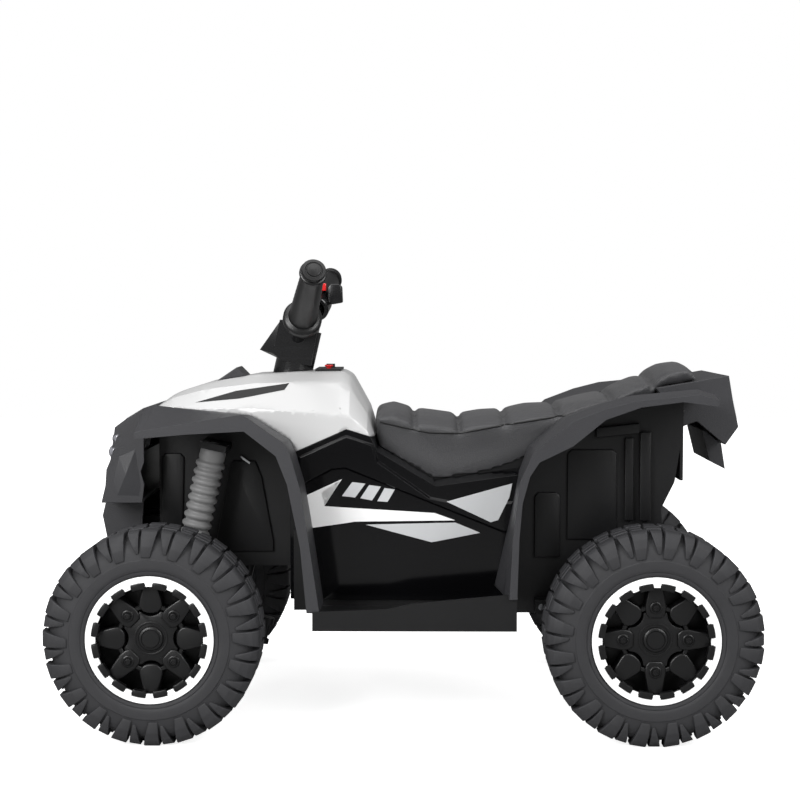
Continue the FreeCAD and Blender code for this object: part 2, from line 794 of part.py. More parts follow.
collar_end = -bar_collar_place - collar_length
left_grip = grip(collar_end, -bar_half_span, -bar_collar_place)
housing_end = throttle_place + throttle_length / 2
housing_start = throttle_place - throttle_length / 2
right_grip = mirrored(grip(-housing_end, -bar_half_span, None))
middle = bar_point(-throttle_place)
hub = bar_rod(-housing_start, -housing_end, throttle_half_depth)
pod_start = middle.x + throttle_half_depth / 2
pod_x = (pod_start, pod_start + throttle_box_depth)
pod_y = (-throttle_place - throttle_length / 2, -throttle_place + throttle_length / 2)
pod_z = (middle.z - throttle_half_depth / 2, middle.z + throttle_half_depth + button_travel)
pod = block(pod_x, pod_y, pod_z)
post = upright(middle.x, -throttle_place, middle.z, pod_z[1], button_radius + shell_wall)
button_low = pod_z[1] - button_travel
button_high = pod_z[1] + 2 * button_travel
pocket = upright(middle.x, -throttle_place, button_low - button_travel - clearance, button_high,
                 button_radius + clearance)
throttle_housing = mirrored(hub.fuse([pod, post]).removeSplitter().cut([left_bar, pocket]))
right_grip = largest(right_grip.cut([throttle_housing, mirrored(pocket)]))
throttle_button = mirrored(upright(middle.x, -throttle_place, button_low, button_high, button_radius))
save("handlebar_cover", cover)
save("handlebar_tube", bar)
save("left_grip", left_grip)
save("right_grip", right_grip)
save("throttle_housing", throttle_housing)
save("throttle_button", throttle_button)


# Dash and its two controls, on top of the hood

dash_x = along(dash_place_share)
dash_half_length = dash_half_length_share * body_reach
hood_top = max(station[2] for station in body_station_shares[:hood_station_count]) * body_height
dash_top = hood_top + dash_thickness
dash = block((dash_x - dash_half_length, dash_x + dash_half_length), (-dash_half_width, dash_half_width),
             (dash_top - dash_depth, dash_top))
cap_low = dash_top + dash_button_travel + clearance
cap_high = cap_low + dash_cap_height
post_low = dash_top - dash_depth
power_y = -dash_pitch / 2
switch_y = dash_pitch / 2
power_button = upright(dash_x, power_y, cap_low, cap_high, button_radius)
power_post = upright(dash_x, power_y, post_low, cap_high, button_stem_radius)
power_button = power_button.fuse(power_post).removeSplitter()
power_hole = upright(dash_x, power_y, post_low - overrun, cap_high, button_stem_radius + clearance)
switch_knob = block((dash_x - button_radius, dash_x + button_radius),
                    (switch_y - button_radius, switch_y + button_radius),
                    (dash_top + clearance, cap_high))
switch_stem = upright(dash_x, switch_y, post_low, cap_high, button_stem_radius)
direction_switch = switch_knob.fuse(switch_stem).removeSplitter()
slot_reach = switch_travel + button_stem_radius + clearance
slot_half = button_stem_radius + clearance
switch_slot = block((dash_x - slot_reach, dash_x + slot_reach), (switch_y - slot_half, switch_y + slot_half),
                    (post_low - overrun, cap_high))
dash_holes = [power_hole, switch_slot]
dash = largest(dash.cut(body_outer).cut(dash_holes))
scoop = side_prism(outline(scoop_shares), -scoop_half_width, scoop_half_width)
scoop = largest(scoop.cut(body_outer))
hood = largest(hood.cut(dash_holes + [stem_room]))
save("dash_panel", dash)
save("power_button", power_button)
save("direction_switch", direction_switch)
save("hood_scoop", scoop)
save("hood", hood)


# Seat: a rigid base and a cushion with a crown, drawn-in sides and cross channels

def seat_station(x_share):
    """Top and bottom of the seat at a place along it."""
    for (x0, top0, low0), (x1, top1, low1) in zip(seat_line_shares, seat_line_shares[1:]):
        if x_share <= x1:
            part = (x_share - x0) / (x1 - x0)
            return (top0 + part * (top1 - top0)) * body_height, (low0 + part * (low1 - low0)) * body_height
    return seat_line_shares[-1][1] * body_height, seat_line_shares[-1][2] * body_height


def seat_places():
    step = channel_half_width / body_reach
    places = {share: 0 for share, top, low in seat_line_shares}
    for share in seat_channel_shares:
        places[share - step] = 0
        places[share] = channel_depth
        places[share + step] = 0
    return sorted(places.items())


def cushion_section(x, top, low, half, groove):
    """Closed section: flat bottom, sides drawn in, crowned top."""
    crown = min(seat_crown, (top - low) / 4)
    side_top = top - crown - groove
    side_middle = (side_top + low) / 2
    foot = half - seat_base_inset
    waist = half - seat_side_draw
    edge = half - groove
    side = [Vector(x, foot, low), Vector(x, waist, side_middle), Vector(x, edge, side_top)]
    other = [Vector(x, -point.y, point.z) for point in side[::-1]]
    crest = Part.Arc(side[-1], Vector(x, 0, top - groove), other[0]).toShape()
    lines = [Part.LineSegment(start, end).toShape() for start, end in zip(side, side[1:])]
    lines.append(crest)
    lines += [Part.LineSegment(start, end).toShape() for start, end in zip(other, other[1:] + side[:1])]
    return Part.Wire(lines)


seat_skirt = seat_base_thickness + 2 * shell_wall
cushion_wires = []
base_sections = []
base_half = seat_half_width - 2 * seat_base_inset
for share, groove in seat_places():
    top, low = seat_station(share)
    x = along(share)
    cushion_wires.append(cushion_section(x, top, low - seat_skirt, seat_half_width, groove))
for share, top, low in seat_line_shares[1:-1]:
    x = along(share)
    z = low * body_height
    base_sections.append([Vector(x, -base_half, z - 2 * seat_skirt), Vector(x, base_half, z - 2 * seat_skirt),
                          Vector(x, base_half, z), Vector(x, -base_half, z)])
seat_base = largest(ruled(base_sections).cut([body_outer, tail_solid]))
cushion = Part.makeLoft(cushion_wires, True, True)
cushion = largest(cushion.cut([body_outer, seat_base, tail_solid] + rear_fenders))
save("seat_base", seat_base)
save("seat_cushion", cushion)


# Rear drive, drawn for the left side

output_radius = output_teeth * output_module / 2
idler_small_radius = idler_small_teeth * output_module / 2
idler_large_radius = idler_large_teeth * motor_module / 2
pinion_radius = pinion_teeth * motor_module / 2
lean = math.radians(drive_lean_deg)
ahead = Vector(-math.cos(lean), 0, math.sin(lean))
axle_centre = Vector(half_base, 0, axle_height)
idler_centre = axle_centre + ahead * (output_radius + idler_small_radius)
motor_centre = idler_centre + ahead * (idler_large_radius + pinion_radius)
output_y = -case_inner - case_wall - gear_gap
motor_y = output_y - gear_width - gear_gap


def gear_outline(teeth, module):
    """Involute teeth as points of X and Y; a tooth is centred on +X."""
    pitch = teeth * module / 2
    base = pitch * math.cos(math.radians(pressure_deg))
    tip = pitch + addendum_share * module
    root = pitch - dedendum_share * module
    start = max(base, root)
    half = math.pi / (2 * teeth) - gear_backlash / (2 * pitch)

    def flank(radius):
        angle = math.acos(min(1, base / radius))
        pressure = math.radians(pressure_deg)
        return half + math.tan(pressure) - pressure - math.tan(angle) + angle

    rising = [(root, flank(start)), (start, flank(start)), (pitch, flank(pitch)), (tip, flank(tip))]
    if root >= base:
        rising = rising[1:]
    tooth = [(radius, -angle) for radius, angle in rising] + rising[::-1]
    points = []
    for number in range(teeth):
        turn = 2 * math.pi * number / teeth
        for radius, angle in tooth:
            points.append((radius * math.cos(angle + turn), radius * math.sin(angle + turn)))
    return points


def gear(teeth, module, centre, y, turn):
    """A gear across Y whose marked tooth points along the drive line, plus a turn."""
    face = Part.Face(polygon([Vector(x, 0, z) for x, z in gear_outline(teeth, module)]))
    wheel = face.extrude(Vector(0, -gear_width, 0))
    wheel.rotate(Vector(0, 0, 0), Vector(0, 1, 0), drive_lean_deg + 180 + turn)
    wheel.translate(Vector(centre.x, y, centre.z))
    return wheel


hub_inner = -half_track + rim_width / 2
output_gear = gear(output_teeth, output_module, axle_centre, output_y, 0)
sleeve = across(axle_centre.x, axle_centre.z, output_y, hub_inner, sleeve_radius)
axle_bore = across(axle_centre.x, axle_centre.z, 0, hub_inner - overrun, axle_radius + running_fit)
output_gear = output_gear.fuse(sleeve).removeSplitter().cut(axle_bore)
mesh_turn = 180 + 180 / idler_small_teeth
idler_small = gear(idler_small_teeth, output_module, idler_centre, output_y, mesh_turn)
idler_large = gear(idler_large_teeth, motor_module, idler_centre, motor_y, 0)
idler_link = across(idler_centre.x, idler_centre.z, output_y - gear_width / 2, motor_y - gear_width / 2,
                    idler_small_radius - 2 * output_module)
idler_bore = across(idler_centre.x, idler_centre.z, 0, motor_y - gear_width - overrun,
                    idler_pin_radius + running_fit)
idler = idler_small.fuse([idler_link, idler_large]).removeSplitter().cut(idler_bore)
pinion = gear(pinion_teeth, motor_module, motor_centre, motor_y, 180 + 180 / pinion_teeth)
motor_inner = -case_inner + motor_length
shaft = across(motor_centre.x, motor_centre.z, motor_inner - motor_length / 2, motor_y - gear_width,
               motor_shaft_radius)
pinion = pinion.fuse(shaft).removeSplitter()


def case_block(y_from, y_to, grow):
    """Drive case outline across Y: round ends over the shafts, joined by straight flanks."""
    side = Vector(ahead.z, 0, -ahead.x)
    stations = [(axle_centre, output_radius + output_module + case_gap),
                (idler_centre, idler_large_radius + motor_module + case_gap),
                (motor_centre, motor_radius + case_gap)]
    pieces = []
    for centre, radius in stations:
        pieces.append(across(centre.x, centre.z, y_from, y_to, radius + grow))
    for (c0, r0), (c1, r1) in zip(stations, stations[1:]):
        ring = [c0 + side * (r0 + grow), c1 + side * (r1 + grow),
                c1 - side * (r1 + grow), c0 - side * (r0 + grow)]
        ring = [Vector(point.x, y_from, point.z) for point in ring]
        pieces.append(Part.Face(polygon(ring)).extrude(Vector(0, y_to - y_from, 0)))
    return pieces[0].fuse(pieces[1:]).removeSplitter()


cover_y = -case_outer + case_wall
case_room = case_block(-case_inner - case_wall, cover_y - overrun, 0)
case = case_block(-case_inner, cover_y, case_wall).cut(case_room)
nose_end = along(case_nose_share)
nose_lug = block((nose_end, motor_centre.x), (cover_y, -case_inner),
                 (motor_centre.z - motor_radius / 2, motor_centre.z + motor_radius / 2))
nose_lug = nose_lug.cut(case_block(-case_inner + overrun, cover_y - overrun, 0))
idler_pin = across(idler_centre.x, idler_centre.z, -case_inner, cover_y, idler_pin_radius)
shaft_hole = across(motor_centre.x, motor_centre.z, 0, cover_y - overrun, motor_shaft_radius + clearance)
axle_hole = across(axle_centre.x, axle_centre.z, 0, cover_y - overrun, axle_radius)
case = case.fuse([nose_lug, idler_pin]).removeSplitter().cut([shaft_hole, axle_hole])
case_cover = case_block(cover_y, -case_outer, case_wall)
sleeve_hole = across(axle_centre.x, axle_centre.z, 0, -case_outer - overrun, sleeve_radius + clearance)
case_cover = case_cover.cut(sleeve_hole)
motor = across(motor_centre.x, motor_centre.z, -case_inner, motor_inner, motor_radius)
motor = motor.cut(across(motor_centre.x, motor_centre.z, -case_inner - overrun,
                         motor_inner - motor_length / 2 + clearance, motor_shaft_radius + running_fit))
axle_end = half_track + rim_width / 2 - axle_end_gap - clearance
rear_axle = across(axle_centre.x, axle_centre.z, -axle_end, axle_end, axle_radius)
save("rear_axle", rear_axle)
save("gearbox_cases", case, mirrored(case))
save("gearbox_covers", case_cover, mirrored(case_cover))
save("drive_motors", motor, mirrored(motor))
for side, turned in (("left", lambda shape: shape), ("right", mirrored)):
    save(side + "_output_gear", turned(output_gear))
    save(side + "_reduction_gear", turned(idler))
    save(side + "_motor_pinion", turned(pinion))


# Chassis tub: tray, footboards, front tower with strut mounts, rear box

def hollow_box(x_range, y_range, z_range, wall):
    """An open-topped box."""
    outer = block(x_range, y_range, z_range)
    room = block((x_range[0] + wall, x_range[1] - wall), (y_range[0] + wall, y_range[1] - wall),
                 (z_range[0] + wall, z_range[1] + overrun))
    return outer.cut(room)


tub_half_width = body_half_width - shell_wall
tray = hollow_box((-tub_front, tub_rear), (-tub_half_width, tub_half_width),
                  (ground_clearance, ground_clearance + tub_wall_height), tub_wall)
board_plate = block((-footboard_front, footboard_rear), (-footboard_half_width, -tub_half_width + tub_wall),
                    (ground_clearance, ground_clearance + footboard_plate))
lip_foot = ground_clearance - footboard_skirt
lip_path = [(-footboard_front, lip_foot), (footboard_rear, lip_foot)]
for place, rise in footboard_lip_shares:
    lip_path.append((along(place), ground_clearance + rise * body_height))
board_lip = side_prism(lip_path, -footboard_half_width, -footboard_half_width + footboard_lip)
tower_top = outline(tower_top_shares)
tower_side = [(-tower_front, tower_floor), (-tub_front + tub_wall, tower_floor),
              (-tub_front + tub_wall, tower_top[-1][1])] + tower_top[::-1]
tower_plate = side_prism(tower_side, -tower_half_width, -tower_half_width + tub_wall)
tower_base = block((-tower_front, -tub_front + tub_wall), (-tower_half_width, tower_half_width),
                   (tower_floor, tower_floor + tub_wall))
tower_face = block((-tower_front, -tower_front + tub_wall), (-tower_half_width, tower_half_width),
                   (tower_floor, tower_top[0][1] - 2 * tub_wall))
mount_reach = ear_radius + tub_wall
strut_mount = raked(block((-mount_reach, mount_reach),
                          (-kingpin_half_track - mount_reach, -tower_half_width + tub_wall),
                          (boot_top, boot_top + mount_thickness)))
nose_bracket = block((along(-1) - overrun, -tower_front + tub_wall),
                     (-keel_half_width / 2, -keel_half_width / 2 + bracket_width),
                     (bracket_place, bracket_place + bracket_height))
bulkhead = block((tub_rear - tub_wall, tub_rear + tub_wall), (-rear_box_half_width, rear_box_half_width),
                 (ground_clearance, bulkhead_top_share * body_height))
rear_plate = side_prism(outline(rear_plate_shares), -rear_box_half_width, -rear_box_half_width + tub_wall)
rear_end = along(rear_plate_shares[-4][0])
rear_face = block((rear_end - tub_wall, rear_end), (-rear_box_half_width, rear_box_half_width),
                  (rear_face_share * body_height, rear_plate_shares[-4][1] * body_height))
left_pieces = [board_plate, board_lip, tower_plate, strut_mount, nose_bracket, rear_plate]
chassis = tray.fuse(left_pieces + [mirrored(piece) for piece in left_pieces]
                    + [tower_base, tower_face, bulkhead, rear_face]).removeSplitter()
socket_place = along(socket_place_share)
socket_hole = across(socket_place, socket_height, 0, body_half_width + overrun, socket_radius)
motor_room = across(motor_centre.x, motor_centre.z, -case_inner, motor_inner, motor_radius)
panels = [left_panel, mirrored(left_panel)]
taken = front_fenders + rear_fenders + panels + [hood, bumper, tail_solid, seat_base, bush, column_room]
taken += [strut, mirrored(strut), rear_axle, motor_room, mirrored(motor_room), socket_hole]
chassis = largest(chassis.cut(taken))
right_panel = mirrored(left_panel).cut(socket_hole)
save("chassis_tub", chassis)
save("left_side_panel", left_panel)
save("right_side_panel", right_panel)


# Electrics

tray_floor = ground_clearance + tub_wall
battery = block((-battery_length / 2, battery_length / 2), (-battery_width / 2, battery_width / 2),
                (tray_floor, tray_floor + battery_height))
unit_rear = -battery_length / 2 - overrun
control_unit = block((unit_rear - unit_length, unit_rear), (-unit_width / 2, unit_width / 2),
                     (tray_floor, tray_floor + unit_height))
socket = across(socket_place, socket_height, body_half_width - socket_depth, body_half_width, socket_radius)
socket_lip = across(socket_place, socket_height, body_half_width, body_half_width + socket_flange,
                    socket_radius + socket_flange)
socket_bore = across(socket_place, socket_height, body_half_width - socket_depth + socket_flange,
                     body_half_width + socket_flange + overrun, socket_bore_radius)
charge_socket = socket.fuse(socket_lip).removeSplitter().cut(socket_bore)
save("battery", battery)
save("control_unit", control_unit)
save("charge_socket", charge_socket)


# Screws on the drive cases

screws = []
for x in (nose_end + 2 * screw_head_radius, nose_end + 5 * screw_head_radius):
    screws.append(across(x, motor_centre.z, cover_y, cover_y - screw_head_height, screw_head_radius))
save("body_screws", *(screws + [mirrored(screw) for screw in screws]))
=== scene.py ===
import math

import bmesh
import bpy
from bpy.props import FloatProperty, FloatVectorProperty, IntProperty, PointerProperty
from mathutils import Matrix, Vector
from mathutils.bvhtree import BVHTree
from mathutils.kdtree import KDTree


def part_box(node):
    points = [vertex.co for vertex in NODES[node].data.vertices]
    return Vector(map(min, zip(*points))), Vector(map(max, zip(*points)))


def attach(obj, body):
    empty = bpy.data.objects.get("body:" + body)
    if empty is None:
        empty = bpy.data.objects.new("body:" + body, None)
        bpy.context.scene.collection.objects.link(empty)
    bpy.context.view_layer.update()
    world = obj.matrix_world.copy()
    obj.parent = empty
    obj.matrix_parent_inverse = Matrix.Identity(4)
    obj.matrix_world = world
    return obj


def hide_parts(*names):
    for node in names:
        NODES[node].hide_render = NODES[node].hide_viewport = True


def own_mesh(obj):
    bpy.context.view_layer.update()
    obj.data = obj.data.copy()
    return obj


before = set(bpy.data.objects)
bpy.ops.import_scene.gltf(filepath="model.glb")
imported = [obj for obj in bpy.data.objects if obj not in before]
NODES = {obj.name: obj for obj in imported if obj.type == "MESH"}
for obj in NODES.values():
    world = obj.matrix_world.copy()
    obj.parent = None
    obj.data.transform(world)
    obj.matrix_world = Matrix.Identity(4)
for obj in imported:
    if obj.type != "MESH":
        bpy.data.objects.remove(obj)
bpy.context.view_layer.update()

bl_info = {
    "name": "Kids Quad Bike",
    "version": (1, 0, 0),
    "blender": (4, 5, 0),
    "location": "View3D > Sidebar > Quad",
    "description": "Dresses the packed quad bike: finishes, wheels, padded seat, trim and a studio",
    "category": "Object",
}

MM = 0.001
MERGE_MM = 0.03
DIVISIONS = 5
SIDES = (("left", -1), ("right", 1))
WHEEL_NAMES = ("left_front", "left_rear", "right_front", "right_rear")

# Places shared with the solids, in millimetres
BEAD_RADIUS = 82
RIM_FACE = 30
AXLE_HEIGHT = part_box("left_front_rim")[0].z / MM + BEAD_RADIUS
HALF_TRACK = -(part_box("left_front_tyre")[0].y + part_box("left_front_tyre")[1].y) / 2 / MM
HALF_BASE = (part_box("left_rear_rim")[0].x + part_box("left_rear_rim")[1].x) / 2 / MM
RAKE_DEG = 13
KINGPIN_TRAIL = 12
KINGPIN_HALF_TRACK = 138
RAKE = (Matrix.Translation((-HALF_BASE + KINGPIN_TRAIL, 0, AXLE_HEIGHT))
        @ Matrix.Rotation(math.radians(RAKE_DEG), 4, "Y"))
BAR_MIDDLE = RAKE @ Vector((67.5, 0, 395))
BAR_REACH = Vector((39.5, -205, 101.7))
SUSPENSION_TRAVEL = 16
# Stretch of the marks on brushed metal and wiped plastic
BRUSHING = (18, 1080, 18)
WIPING = (14, 90, 520)
# Where rays from the side start, in metres
OUTSIDE = 0.4
MIRROR = Matrix.Scale(-1, 4, (0, 1, 0))
MATERIALS = {}


def tint(name, text, default):
    """A colour."""
    return FloatVectorProperty(name=name, description=text, subtype="COLOR", size=3, min=0, max=1,
                               default=default)


def whole_number(name, text, default, least):
    """A number of pieces or steps."""
    return IntProperty(name=name, description=text, subtype="UNSIGNED", default=default, min=least)


def length(name, text, default):
    """A length, given in millimetres and kept in metres."""
    return FloatProperty(name=name, description=text, subtype="DISTANCE", unit="LENGTH", precision=4,
                         default=default * MM, min=0)


class QuadFinishes(bpy.types.PropertyGroup):
    """Colours of the finishes."""
    charcoal: tint("Charcoal", "Grained plastic of the fenders and bumper", (0.027, 0.027, 0.030))
    gloss: tint("Gloss black", "Polished plastic of the side panels", (0.0022, 0.0022, 0.0026))
    white: tint("White", "Painted hood", (0.47, 0.47, 0.47))
    tub: tint("Tub black", "Moulded plastic of the chassis tub", (0.0052, 0.0052, 0.0057))
    tyre: tint("Tyre", "Moulded tyre", (0.025, 0.025, 0.0275))
    rim: tint("Rim", "Black rim plastic", (0.0040, 0.0040, 0.0043))
    ring: tint("Ring", "White bead ring", (0.82, 0.82, 0.82))
    vinyl: tint("Vinyl", "Seat cover", (0.036, 0.036, 0.0385))
    boot: tint("Boot", "Grey shock boots", (0.16, 0.16, 0.16))
    rubber: tint("Rubber", "Grips", (0.0050, 0.0050, 0.0053))
    silver: tint("Silver", "Silver film and plated trim", (0.60, 0.61, 0.62))
    smoke: tint("Smoke", "Smoked lamp lobes", (0.16, 0.16, 0.175))
    steel: tint("Steel", "Plated and bare steel", (0.46, 0.47, 0.49))
    nylon: tint("Nylon", "Gears", (0.72, 0.69, 0.60))
    red: tint("Red", "Throttle and power buttons", (0.55, 0.012, 0.012))


class QuadWheels(bpy.types.PropertyGroup):
    """Sizes of the wheels."""
    lug_count: whole_number("Lugs", "Shoulder blocks round each edge", 20, 8)
    lug_length: length("Lug length", "Length of a block along the tread", 21)
    lug_round: length("Lug round", "Rounding of the block edges", 1.2)
    turns: whole_number("Turning steps", "Faces round a turned piece", 128, 24)
    spoke_count: whole_number("Spokes", "Spokes of a rim", 8, 4)
    spoke_tip: length("Spoke tip", "Width of a spoke at the barrel", 13.5)
    spoke_round: length("Spoke round", "Rounding of a spoke's edges", 2.2)


class QuadSeat(bpy.types.PropertyGroup):
    """How the seat is stuffed and sewn."""
    voxel: length("Voxel", "Mesh size of the padding", 5)
    pressure: FloatProperty(name="Pressure", description="Air pressure while the padding swells",
                            subtype="UNSIGNED", default=4)
    swell: length("Swell", "Most that the cover may move", 2.5)
    channel_depth: length("Channel depth", "Depth of a sewn channel", 3.2)
    channel_width: length("Channel width", "Half width of a sewn channel", 5)
    piping: length("Piping", "Radius of the seam piping", 1.3)


class QuadStage(bpy.types.PropertyGroup):
    """Camera and light."""
    eye: FloatVectorProperty(name="Eye", description="Camera place", subtype="TRANSLATION", unit="LENGTH",
                             size=3, default=(0.022, -2.252, 0.555))
    lens: FloatProperty(name="Lens", description="Focal length", subtype="DISTANCE_CAMERA", unit="CAMERA",
                        default=70.8)
    yaw: FloatProperty(name="Yaw", description="Turn towards the front", subtype="ANGLE", unit="ROTATION",
                       default=math.radians(0.73))
    pitch: FloatProperty(name="Pitch", description="Tilt below level", subtype="ANGLE", unit="ROTATION",
                         default=math.radians(3.16))
    ambient: FloatProperty(name="Ambient", description="Strength of the white surround", subtype="FACTOR",
                           default=0.5)
    glow: FloatProperty(name="Floor glow", description="White that the floor near the bike adds",
                        subtype="FACTOR", default=0.8)
    key: FloatProperty(name="Key", description="Overhead softbox", subtype="POWER", unit="POWER", default=34)
    fill: FloatProperty(name="Fill", description="Side softbox", subtype="POWER", unit="POWER", default=66)


class Socket:
    """An output of a node tree; arithmetic on it adds Math nodes."""

    def __init__(self, tree, output=None):
        self.tree = tree
        self.output = output

    def node(self, kind, settings=(), values=(), output=0):
        """Adds a node: its settings first, then the values or links of its inputs."""
        made = self.tree.nodes.new(kind)
        for key, value in dict(settings).items():
            if key == "stops":
                set_stops(made.color_ramp.elements, value)
            else:
                setattr(made, key, value)
        for key, value in dict(values).items():
            if isinstance(value, Socket):
                self.tree.links.new(value.output, made.inputs[key])
            else:
                made.inputs[key].default_value = value
        return Socket(self.tree, made.outputs[output] if len(made.outputs) else None)

    def maths(self, operation, first, second):
        return self.node("ShaderNodeMath", {"operation": operation}, {0: first, 1: second})

    def __add__(self, other):
        return self.maths("ADD", self, other)

    def __radd__(self, other):
        return self.maths("ADD", other, self)

    def __sub__(self, other):
        return self.maths("SUBTRACT", self, other)

    def __rsub__(self, other):
        return self.maths("SUBTRACT", other, self)

    def __mul__(self, other):
        return self.maths("MULTIPLY", self, other)

    def __rmul__(self, other):
        return self.maths("MULTIPLY", other, self)

    def noise(self, scale, detail=2.0, roughness=0.5):
        """Noise over this vector, from 0 to 1."""
        return self.node("ShaderNodeTexNoise", {},
                         {"Vector": self, "Scale": scale, "Detail": detail, "Roughness": roughness})

    def cells(self, scale, feature="F1"):
        """Distance to the nearest cell point or edge over this vector."""
        return self.node("ShaderNodeTexVoronoi", {"feature": feature}, {"Vector": self, "Scale": scale})

    def ramp(self, *stops):
        return self.node("ShaderNodeValToRGB", {"stops": stops}, {"Fac": self})

    def between(self, low, high):
        """A colour from low to high by this value."""
        return self.node("ShaderNodeMix", {"data_type": "RGBA"}, {0: self, 6: low, 7: high}, 2)


def set_stops(elements, stops):
    for place, (position, shade) in enumerate(stops):
        element = elements[place] if place < len(elements) else elements.new(position)
        element.position = position
        element.color = (shade, shade, shade, 1)


def rgba(shade, level=1.0):
    return (min(1, shade[0] * level), min(1, shade[1] * level), min(1, shade[2] * level), 1)


def material(name, values, normal=None):
    """A Principled material whose input values may be numbers, colours or sockets of its own tree."""
    made = MATERIALS[name]
    start = Socket(made.node_tree)
    if normal is not None:
        values["Normal"] = normal
    surface = start.node("ShaderNodeBsdfPrincipled", {}, values, "BSDF")
    start.node("ShaderNodeOutputMaterial", {}, {"Surface": surface})
    return made


def blank(name):
    """A cleared material, and its object coordinates."""
    made = bpy.data.materials.new(name)
    made.use_nodes = True
    made.node_tree.nodes.clear()
    MATERIALS[name] = made
    start = Socket(made.node_tree)
    return start.node("ShaderNodeTexCoord", {}, {}, "Object")


def bumped(height, strength, distance):
    """A normal from a height."""
    values = {"Height": height, "Strength": strength, "Distance": distance}
    return height.node("ShaderNodeBump", {}, values, "Normal")


def grained_plastic(name, shade, roughness, grain, strength, mottle=0.10):
    """Moulded plastic with a leathery grain, uneven shade and handling marks."""
    place = blank(name)
    cloud = place.noise(9, 4)
    grain_cells = place.cells(grain)
    fine = place.noise(grain * 2.2, 3, 0.6)
    height = grain_cells * 0.7 + fine * 0.5
    marks = place.noise(60, 6, 0.7).ramp((0.52, 0), (0.78, 1))
    base = (cloud * 0.8 + fine * 0.2).between(rgba(shade, 1 - mottle), rgba(shade, 1 + mottle))
    rough = cloud * 0.10 + marks * 0.07 + (roughness - 0.07)
    return material(name, {"Base Color": base, "Roughness": rough, "Specular IOR Level": 0.45},
                    bumped(height, strength, 0.0006))


def polished_plastic(name, shade, roughness, coat, ripple=0.05, mottle=0.04, shine=0.5):
    """Polished moulded plastic: slight ripple, faint dust and fine wiping marks."""
    place = blank(name)
    cloud = place.noise(7, 3)
    dust = place.noise(420, 4, 0.7).ramp((0.60, 0), (0.80, 1))
    stretched = place.node("ShaderNodeMapping", {}, {"Vector": place, "Scale": WIPING})
    wipes = stretched.noise(1, 3, 0.6).ramp((0.55, 0), (0.75, 1))
    base = cloud.between(rgba(shade, 1 - mottle), rgba(shade, 1 + mottle))
    rough = dust * 0.10 + wipes * 0.05 + cloud * 0.04 + roughness
    return material(name, {"Base Color": base, "Roughness": rough, "Coat Weight": coat,
                           "Coat Roughness": 0.05, "Specular IOR Level": shine},
                    bumped(place.noise(38, 2), ripple, 0.0012))


def tyre_plastic(name, shade):
    """Matte tread with paler scuffed edges, dusty hollows and a fine moulded grain."""
    place = blank(name)
    wear = place.node("ShaderNodeAttribute", {"attribute_name": "wear"}, {}, "Fac")
    blotch = place.noise(35, 5, 0.6)
    fine = place.noise(900, 3, 0.6)
    scuff = (wear * (blotch * 0.9 + 0.35)).ramp((0.15, 0), (0.95, 1))
    base = (scuff * 0.8 + blotch * 0.2).between(rgba(shade, 0.72), rgba(shade, 2.1))
    rough = 0.62 - scuff * 0.12 + fine * 0.10
    return material(name, {"Base Color": base, "Roughness": rough, "Specular IOR Level": 0.4},
                    bumped(fine * 0.6 + blotch * 0.6, 0.35, 0.0007))


def seat_vinyl(name, shade):
    """Stuffed vinyl: pebbled leather grain, creases and a soft shine on worn crowns."""
    place = blank(name)
    warp = place.noise(55, 3)
    pebble = place.cells(620, "DISTANCE_TO_EDGE").ramp((0.0, 0), (0.16, 1))
    fine = place.noise(1500, 2)
    crease = place.noise(70, 5, 0.65).ramp((0.46, 0), (0.52, 1))
    rub = place.noise(11, 4, 0.6)
    base = (rub * 0.7 + pebble * 0.3).between(rgba(shade, 0.80), rgba(shade, 1.22))
    rough = 0.50 - rub * 0.12 + warp * 0.08
    height = pebble * 0.7 + fine * 0.25 + crease * 0.35
    return material(name, {"Base Color": base, "Roughness": rough, "Sheen Weight": 0.05},
                    bumped(height, 0.38, 0.0007))


def soft_rubber(name, shade, roughness):
    """Soft rubber with a bloom and fine pits."""
    place = blank(name)
    bloom = place.noise(24, 5, 0.6)
    pits = place.noise(1300, 2)
    base = bloom.between(rgba(shade, 0.84), rgba(shade, 1.14))
    return material(name, {"Base Color": base, "Roughness": bloom * 0.16 + (roughness - 0.06)},
                    bumped(pits * 0.6 + bloom * 0.4, 0.22, 0.0005))


def metal(name, shade, roughness):
    """Plated or drawn metal with a brushed direction and small stains."""
    place = blank(name)
    along = place.node("ShaderNodeMapping", {}, {"Vector": place, "Scale": BRUSHING})
    brushed = along.noise(9, 4, 0.7)
    stain = place.noise(80, 5, 0.6).ramp((0.45, 0), (0.8, 1))
    base = (brushed * 0.5 + stain * 0.5).between(rgba(shade, 1.1), rgba(shade, 0.72))
    rough = brushed * 0.16 + stain * 0.12 + roughness
    return material(name, {"Base Color": base, "Roughness": rough, "Metallic": 1.0},
                    bumped(brushed, 0.10, 0.0004))


def film(name, shade, roughness, metallic, coat=0.4):
    """Printed film with a slight flake and a soft edge of gloss."""
    place = blank(name)
    flake = place.noise(2600, 2)
    cloud = place.noise(16, 3)
    base = (flake * 0.5 + cloud * 0.5).between(rgba(shade, 0.90), rgba(shade, 1.08))
    rough = flake * 0.10 + cloud * 0.08 + roughness
    return material(name, {"Base Color": base, "Roughness": rough, "Metallic": metallic, "Coat Weight": coat},
                    bumped(cloud, 0.06, 0.0008))


FENDERS = tuple(wheel + "_fender" for wheel in WHEEL_NAMES)
RIM_RINGS = tuple(wheel + "_rim_ring" for wheel in WHEEL_NAMES)
SIDE_PANELS = ("left_side_panel", "right_side_panel")
KNUCKLES = ("left_knuckle", "right_knuckle")
